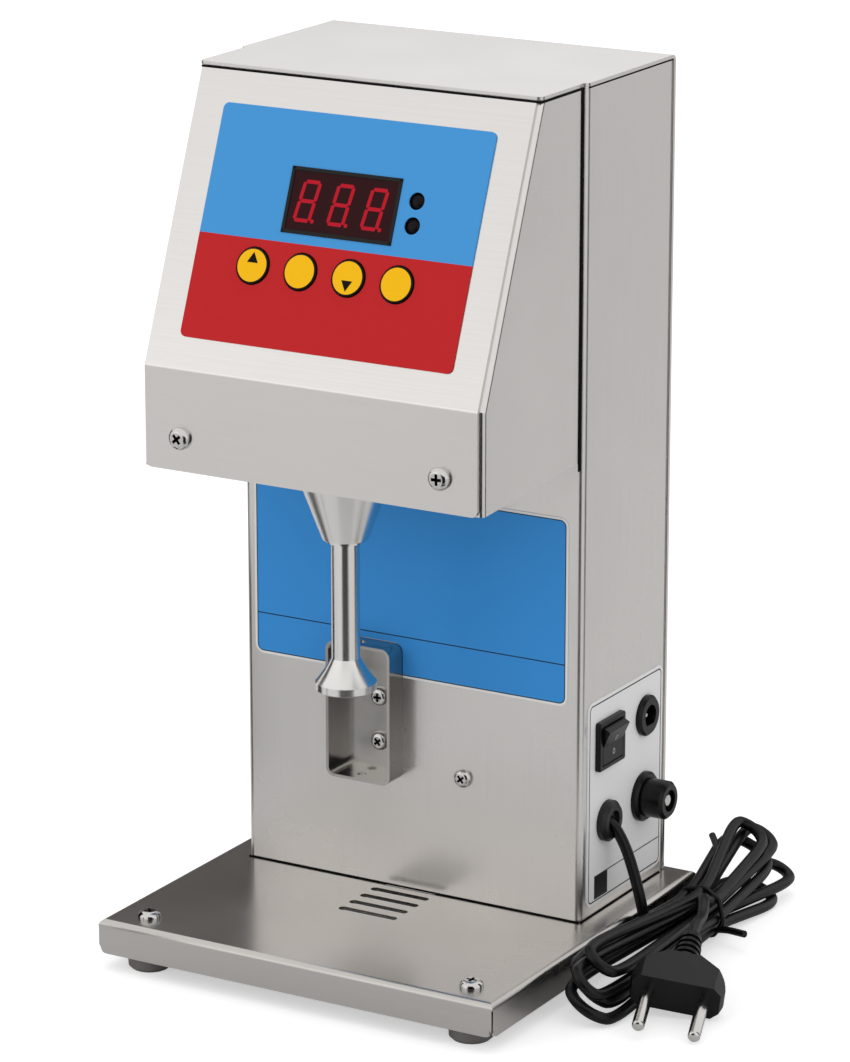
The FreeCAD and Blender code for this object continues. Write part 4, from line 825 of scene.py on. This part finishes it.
# far end, its half width and its lean, then the near end, its half width and its lean
turns = [
    ((81.5, 95.0, 3.8), 8.9, 15, (84.6, -33.2, 6.0), 9.5, 29),
    ((84.6, 105.4, 7.7), 6.1, 23, (82.2, -27.2, 10.2), 9.7, 43),
    ((77.0, 100.5, 15.2), 9.4, 27, (84.5, -32.9, 13.4), 6.3, 43),
    ((79.0, 104.1, 19.0), 6.0, 30, (84.7, -24.4, 17.9), 6.4, 36),
    ((78.7, 96.5, 23.2), 6.3, 32, None, 0, 0),
]
across, out = hank_axes(32)
to_round = 1 / math.cos(math.radians(22.5))


def in_waist(slot):
    return waist + across * slot[0] + out * slot[1]


def half_round(end, half, lean, way):
    """Corners of half an octagon around the bend at one end of a turn."""
    side = hank_axes(lean)[0]
    middle = Vector(end) - Vector((0, way * half, 0))
    corners = []
    for angle in (22.5, 67.5, 112.5, 157.5):
        turn = math.radians(angle)
        spoke = side * math.cos(turn) + Vector((0, math.sin(turn), 0))
        corners.append(middle + to_round * half * way * spoke)
    return corners


route = [Vector(p) for p in down_run]
for i, (far, far_half, far_lean, near, near_half, near_lean) in enumerate(turns):
    leaves, returns = (in_waist(slot) for slot in waist_slots[i])
    bend = half_round(far, far_half, far_lean, 1)
    route += [leaves, (leaves + bend[0]) / 2, *bend, (returns + bend[3]) / 2, returns]
    if near:
        bend = half_round(near, near_half, near_lean, -1)
        again = in_waist(waist_slots[i + 1][0])
        route += [0.55 * returns + 0.45 * bend[0], *bend, 0.55 * again + 0.45 * bend[3]]
plug_turn = (
    Euler((math.radians(14), 0, math.radians(18))).to_matrix() @ Euler((0, math.radians(8), 0)).to_matrix()
)
plug_place = Vector((107.4, -15.6, 8.2))
neck_end = plug_turn @ Vector((0, 32, 0)) + plug_place
neck_out = plug_turn @ Vector((0, 1, 0))
route += [Vector(p) for p in plug_run] + [neck_end + 8 * neck_out, neck_end]

line = bpy.data.curves.new("power_cord", "CURVE")
line.dimensions = "3D"
line.bevel_depth = cord_radius
line.bevel_resolution = 5
line.resolution_u = 8
spline = line.splines.new("NURBS")
spline.points.add(len(route) - 1)
for point, place in zip(spline.points, route):
    point.co = (*(place * mm), 1)
spline.order_u = 3
spline.use_endpoint_u = True
cord = bpy.data.objects.new("power_cord_run", line)
bpy.context.scene.collection.objects.link(cord)
line.materials.append(jacket)
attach(cord, "stand")
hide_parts("power_cord", "cord_hank", "plug_lead")

tie_radius = 0.8 * mm
tie_line = bpy.data.curves.new("cord_tie", "CURVE")
tie_line.dimensions = "3D"
tie_line.bevel_depth = tie_radius
tie_line.bevel_resolution = 4
tie_line.use_fill_caps = True


def tie_wire(points, thickness, closed):
    """Smooth wire through the points, given in millimetres."""
    wire = tie_line.splines.new("NURBS")
    wire.points.add(len(points) - 1)
    for point, place in zip(wire.points, points):
        point.co = (*(Vector(place) * mm), 1)
        point.radius = thickness
    wire.order_u = 3
    wire.use_cyclic_u = closed
    wire.use_endpoint_u = not closed


# the ring lies on the outer cords of the waist, and its two twisted ends are thicker
tie_steps = 24
tie_reach = (cord_radius + tie_radius) / mm
twisted = 1.45
low_end = [(88.6, 51.2, 4.6), (91.5, 51.0, 5.2), (95.5, 49.8, 5.6), (99.5, 48.5, 6.0)]
high_end = [(79.5, 54.0, 15.0), (77.5, 70.0, 17.0), (74.5, 80.5, 18.5), (67.8, 87.3, 22.0)]
waist_cords = [slot for pair in waist_slots for slot in pair]
tie_ring = []
for step in range(tie_steps):
    turn = math.radians(360 / tie_steps * step)
    outward = (math.cos(turn), math.sin(turn))
    edge = max(waist_cords, key=lambda slot: slot[0] * outward[0] + slot[1] * outward[1])
    tie_ring.append(in_waist((edge[0] + tie_reach * outward[0], edge[1] + tie_reach * outward[1])))
tie_wire(tie_ring, 1.0, True)
tie_wire(low_end, twisted, False)
tie_wire(high_end, twisted, False)
tie = bpy.data.objects.new("twisted_tie", tie_line)
bpy.context.scene.collection.objects.link(tie)
tie_line.materials.append(jacket)
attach(tie, "stand")
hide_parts("cord_tie")


# Table, studio and camera
# A white table under soft boxes, seen with a long lens from the front right and a little above.
# Where the camera sees the table it is white, and keeps the object's shadow.
table_material = new_material("white_table")
table_path = add(table_material, "ShaderNodeLightPath")
table_paint = add(table_material, "ShaderNodeBsdfDiffuse", {"Color": linear("#E2E2E2")})
table_lift = add(
    table_material, "ShaderNodeMath", {0: table_path.outputs["Is Camera Ray"], 1: 0.5}, operation="MULTIPLY"
)
table_white = add(
    table_material, "ShaderNodeEmission", {"Color": linear("#FFFFFF"), "Strength": table_lift.outputs[0]}
)
table_sum = add(table_material, "ShaderNodeAddShader", {0: table_paint.outputs[0], 1: table_white.outputs[0]})
add(table_material, "ShaderNodeOutputMaterial", {"Surface": table_sum.outputs[0]})
deselect()
bpy.ops.mesh.primitive_plane_add(size=8)
table = bpy.context.active_object
table.name = "table"
table.data.materials.append(table_material)


lit_point = Vector((0, 0, 0.14))


def soft_box(name, place, size, brightness, mirrored=False):
    """Square light that faces the object. Its brightness is that of its own face.

    Reflections show it only if it is mirrored, because it would burn the steel out otherwise.
    """
    deselect()
    bpy.ops.object.light_add(type="AREA", location=place)
    lamp = bpy.context.active_object
    lamp.name = name
    lamp.data.size = size
    lamp.data.energy = brightness * math.pi * size * size
    lamp.visible_glossy = mirrored
    lamp.rotation_euler = (lit_point - Vector(place)).to_track_quat("-Z", "Y").to_euler()


soft_box("front_left_soft_box", (-1.15, -1.7, 1.0), 1.1, 1.15)
soft_box("right_soft_box", (1.7, -0.3, 1.2), 0.9, 0.9)
soft_box("top_soft_box", (-0.3, 0.2, 1.9), 1.0, 0.9)
soft_box("low_left_soft_box", (-0.97, -1.64, 0.55), 0.8, 0.25, True)


def card(name, code, azimuth, distance, width, height):
    """Matt card that stands on the table and faces the object. Only reflections show it."""
    paint = new_material(name)
    surface(paint, {"Base Color": linear(code), "Roughness": 0.9, "Specular IOR Level": 0.1})
    turn = math.radians(azimuth)
    deselect()
    bpy.ops.mesh.primitive_plane_add(
        size=1, location=(distance * math.cos(turn), distance * math.sin(turn), height / 2)
    )
    board = bpy.context.active_object
    board.name = name
    board.scale = (width, height, 1)
    board.rotation_euler = (math.radians(90), 0, turn + math.radians(90))
    board.data.materials.append(paint)
    board.visible_camera = False
    board.visible_diffuse = False
    board.visible_shadow = False


card("front_card", "#1A1A1A", -66, 0.33, 0.26, 0.26)
card("right_card", "#1A1A1A", 22, 0.30, 0.13, 0.30)
card("left_card", "#303030", -172, 0.35, 0.14, 0.30)
card("back_card", "#6A6866", 118, 0.45, 0.9, 0.33)
card("bracket_card", "#202020", -126, 0.18, 0.013, 0.058)
card("cone_card", "#1A1A1A", -160, 0.15, 0.07, 0.09)
card("low_card", "#0E0E0E", -60, 0.2, 0.16, 0.075)

world = bpy.data.worlds.new("studio")
world.use_nodes = True
world.node_tree.nodes.clear()
bpy.context.scene.world = world
path = add(world, "ShaderNodeLightPath")
seen = add(
    world, "ShaderNodeMath", {0: path.outputs["Is Camera Ray"], 1: path.outputs["Is Glossy Ray"]},
    operation="MAXIMUM",
)
seen_or_through = add(
    world, "ShaderNodeMath", {0: seen.outputs[0], 1: path.outputs["Is Transmission Ray"]}, operation="MAXIMUM"
)
room_light = add(
    world, "ShaderNodeMapRange", {"Value": seen_or_through.outputs[0], "To Min": 0.8, "To Max": 1.0}
)
background = add(
    world, "ShaderNodeBackground", {"Color": linear("#FFFFFF"), "Strength": room_light.outputs["Result"]}
)
add(world, "ShaderNodeOutputWorld", {"Surface": background.outputs["Background"]})

camera_place = Vector((715.7, -1213.2, 547.0)) * mm
camera_aim = Vector((11.2, -4.3, 141.4)) * mm
focal_pixels = 4648.9     # focal length in pixels of the frame
frame_pixels = 1062       # the frame's longer side
sensor = 36.0
camera_data = bpy.data.cameras.new("camera")
camera_data.sensor_width = sensor
camera_data.lens = sensor * focal_pixels / frame_pixels
camera = bpy.data.objects.new("camera", camera_data)
camera.location = camera_place
camera.rotation_euler = (camera_aim - camera_place).to_track_quat("-Z", "Y").to_euler()
bpy.context.scene.collection.objects.link(camera)
bpy.context.scene.camera = camera
bpy.context.scene.view_settings.view_transform = "Standard"
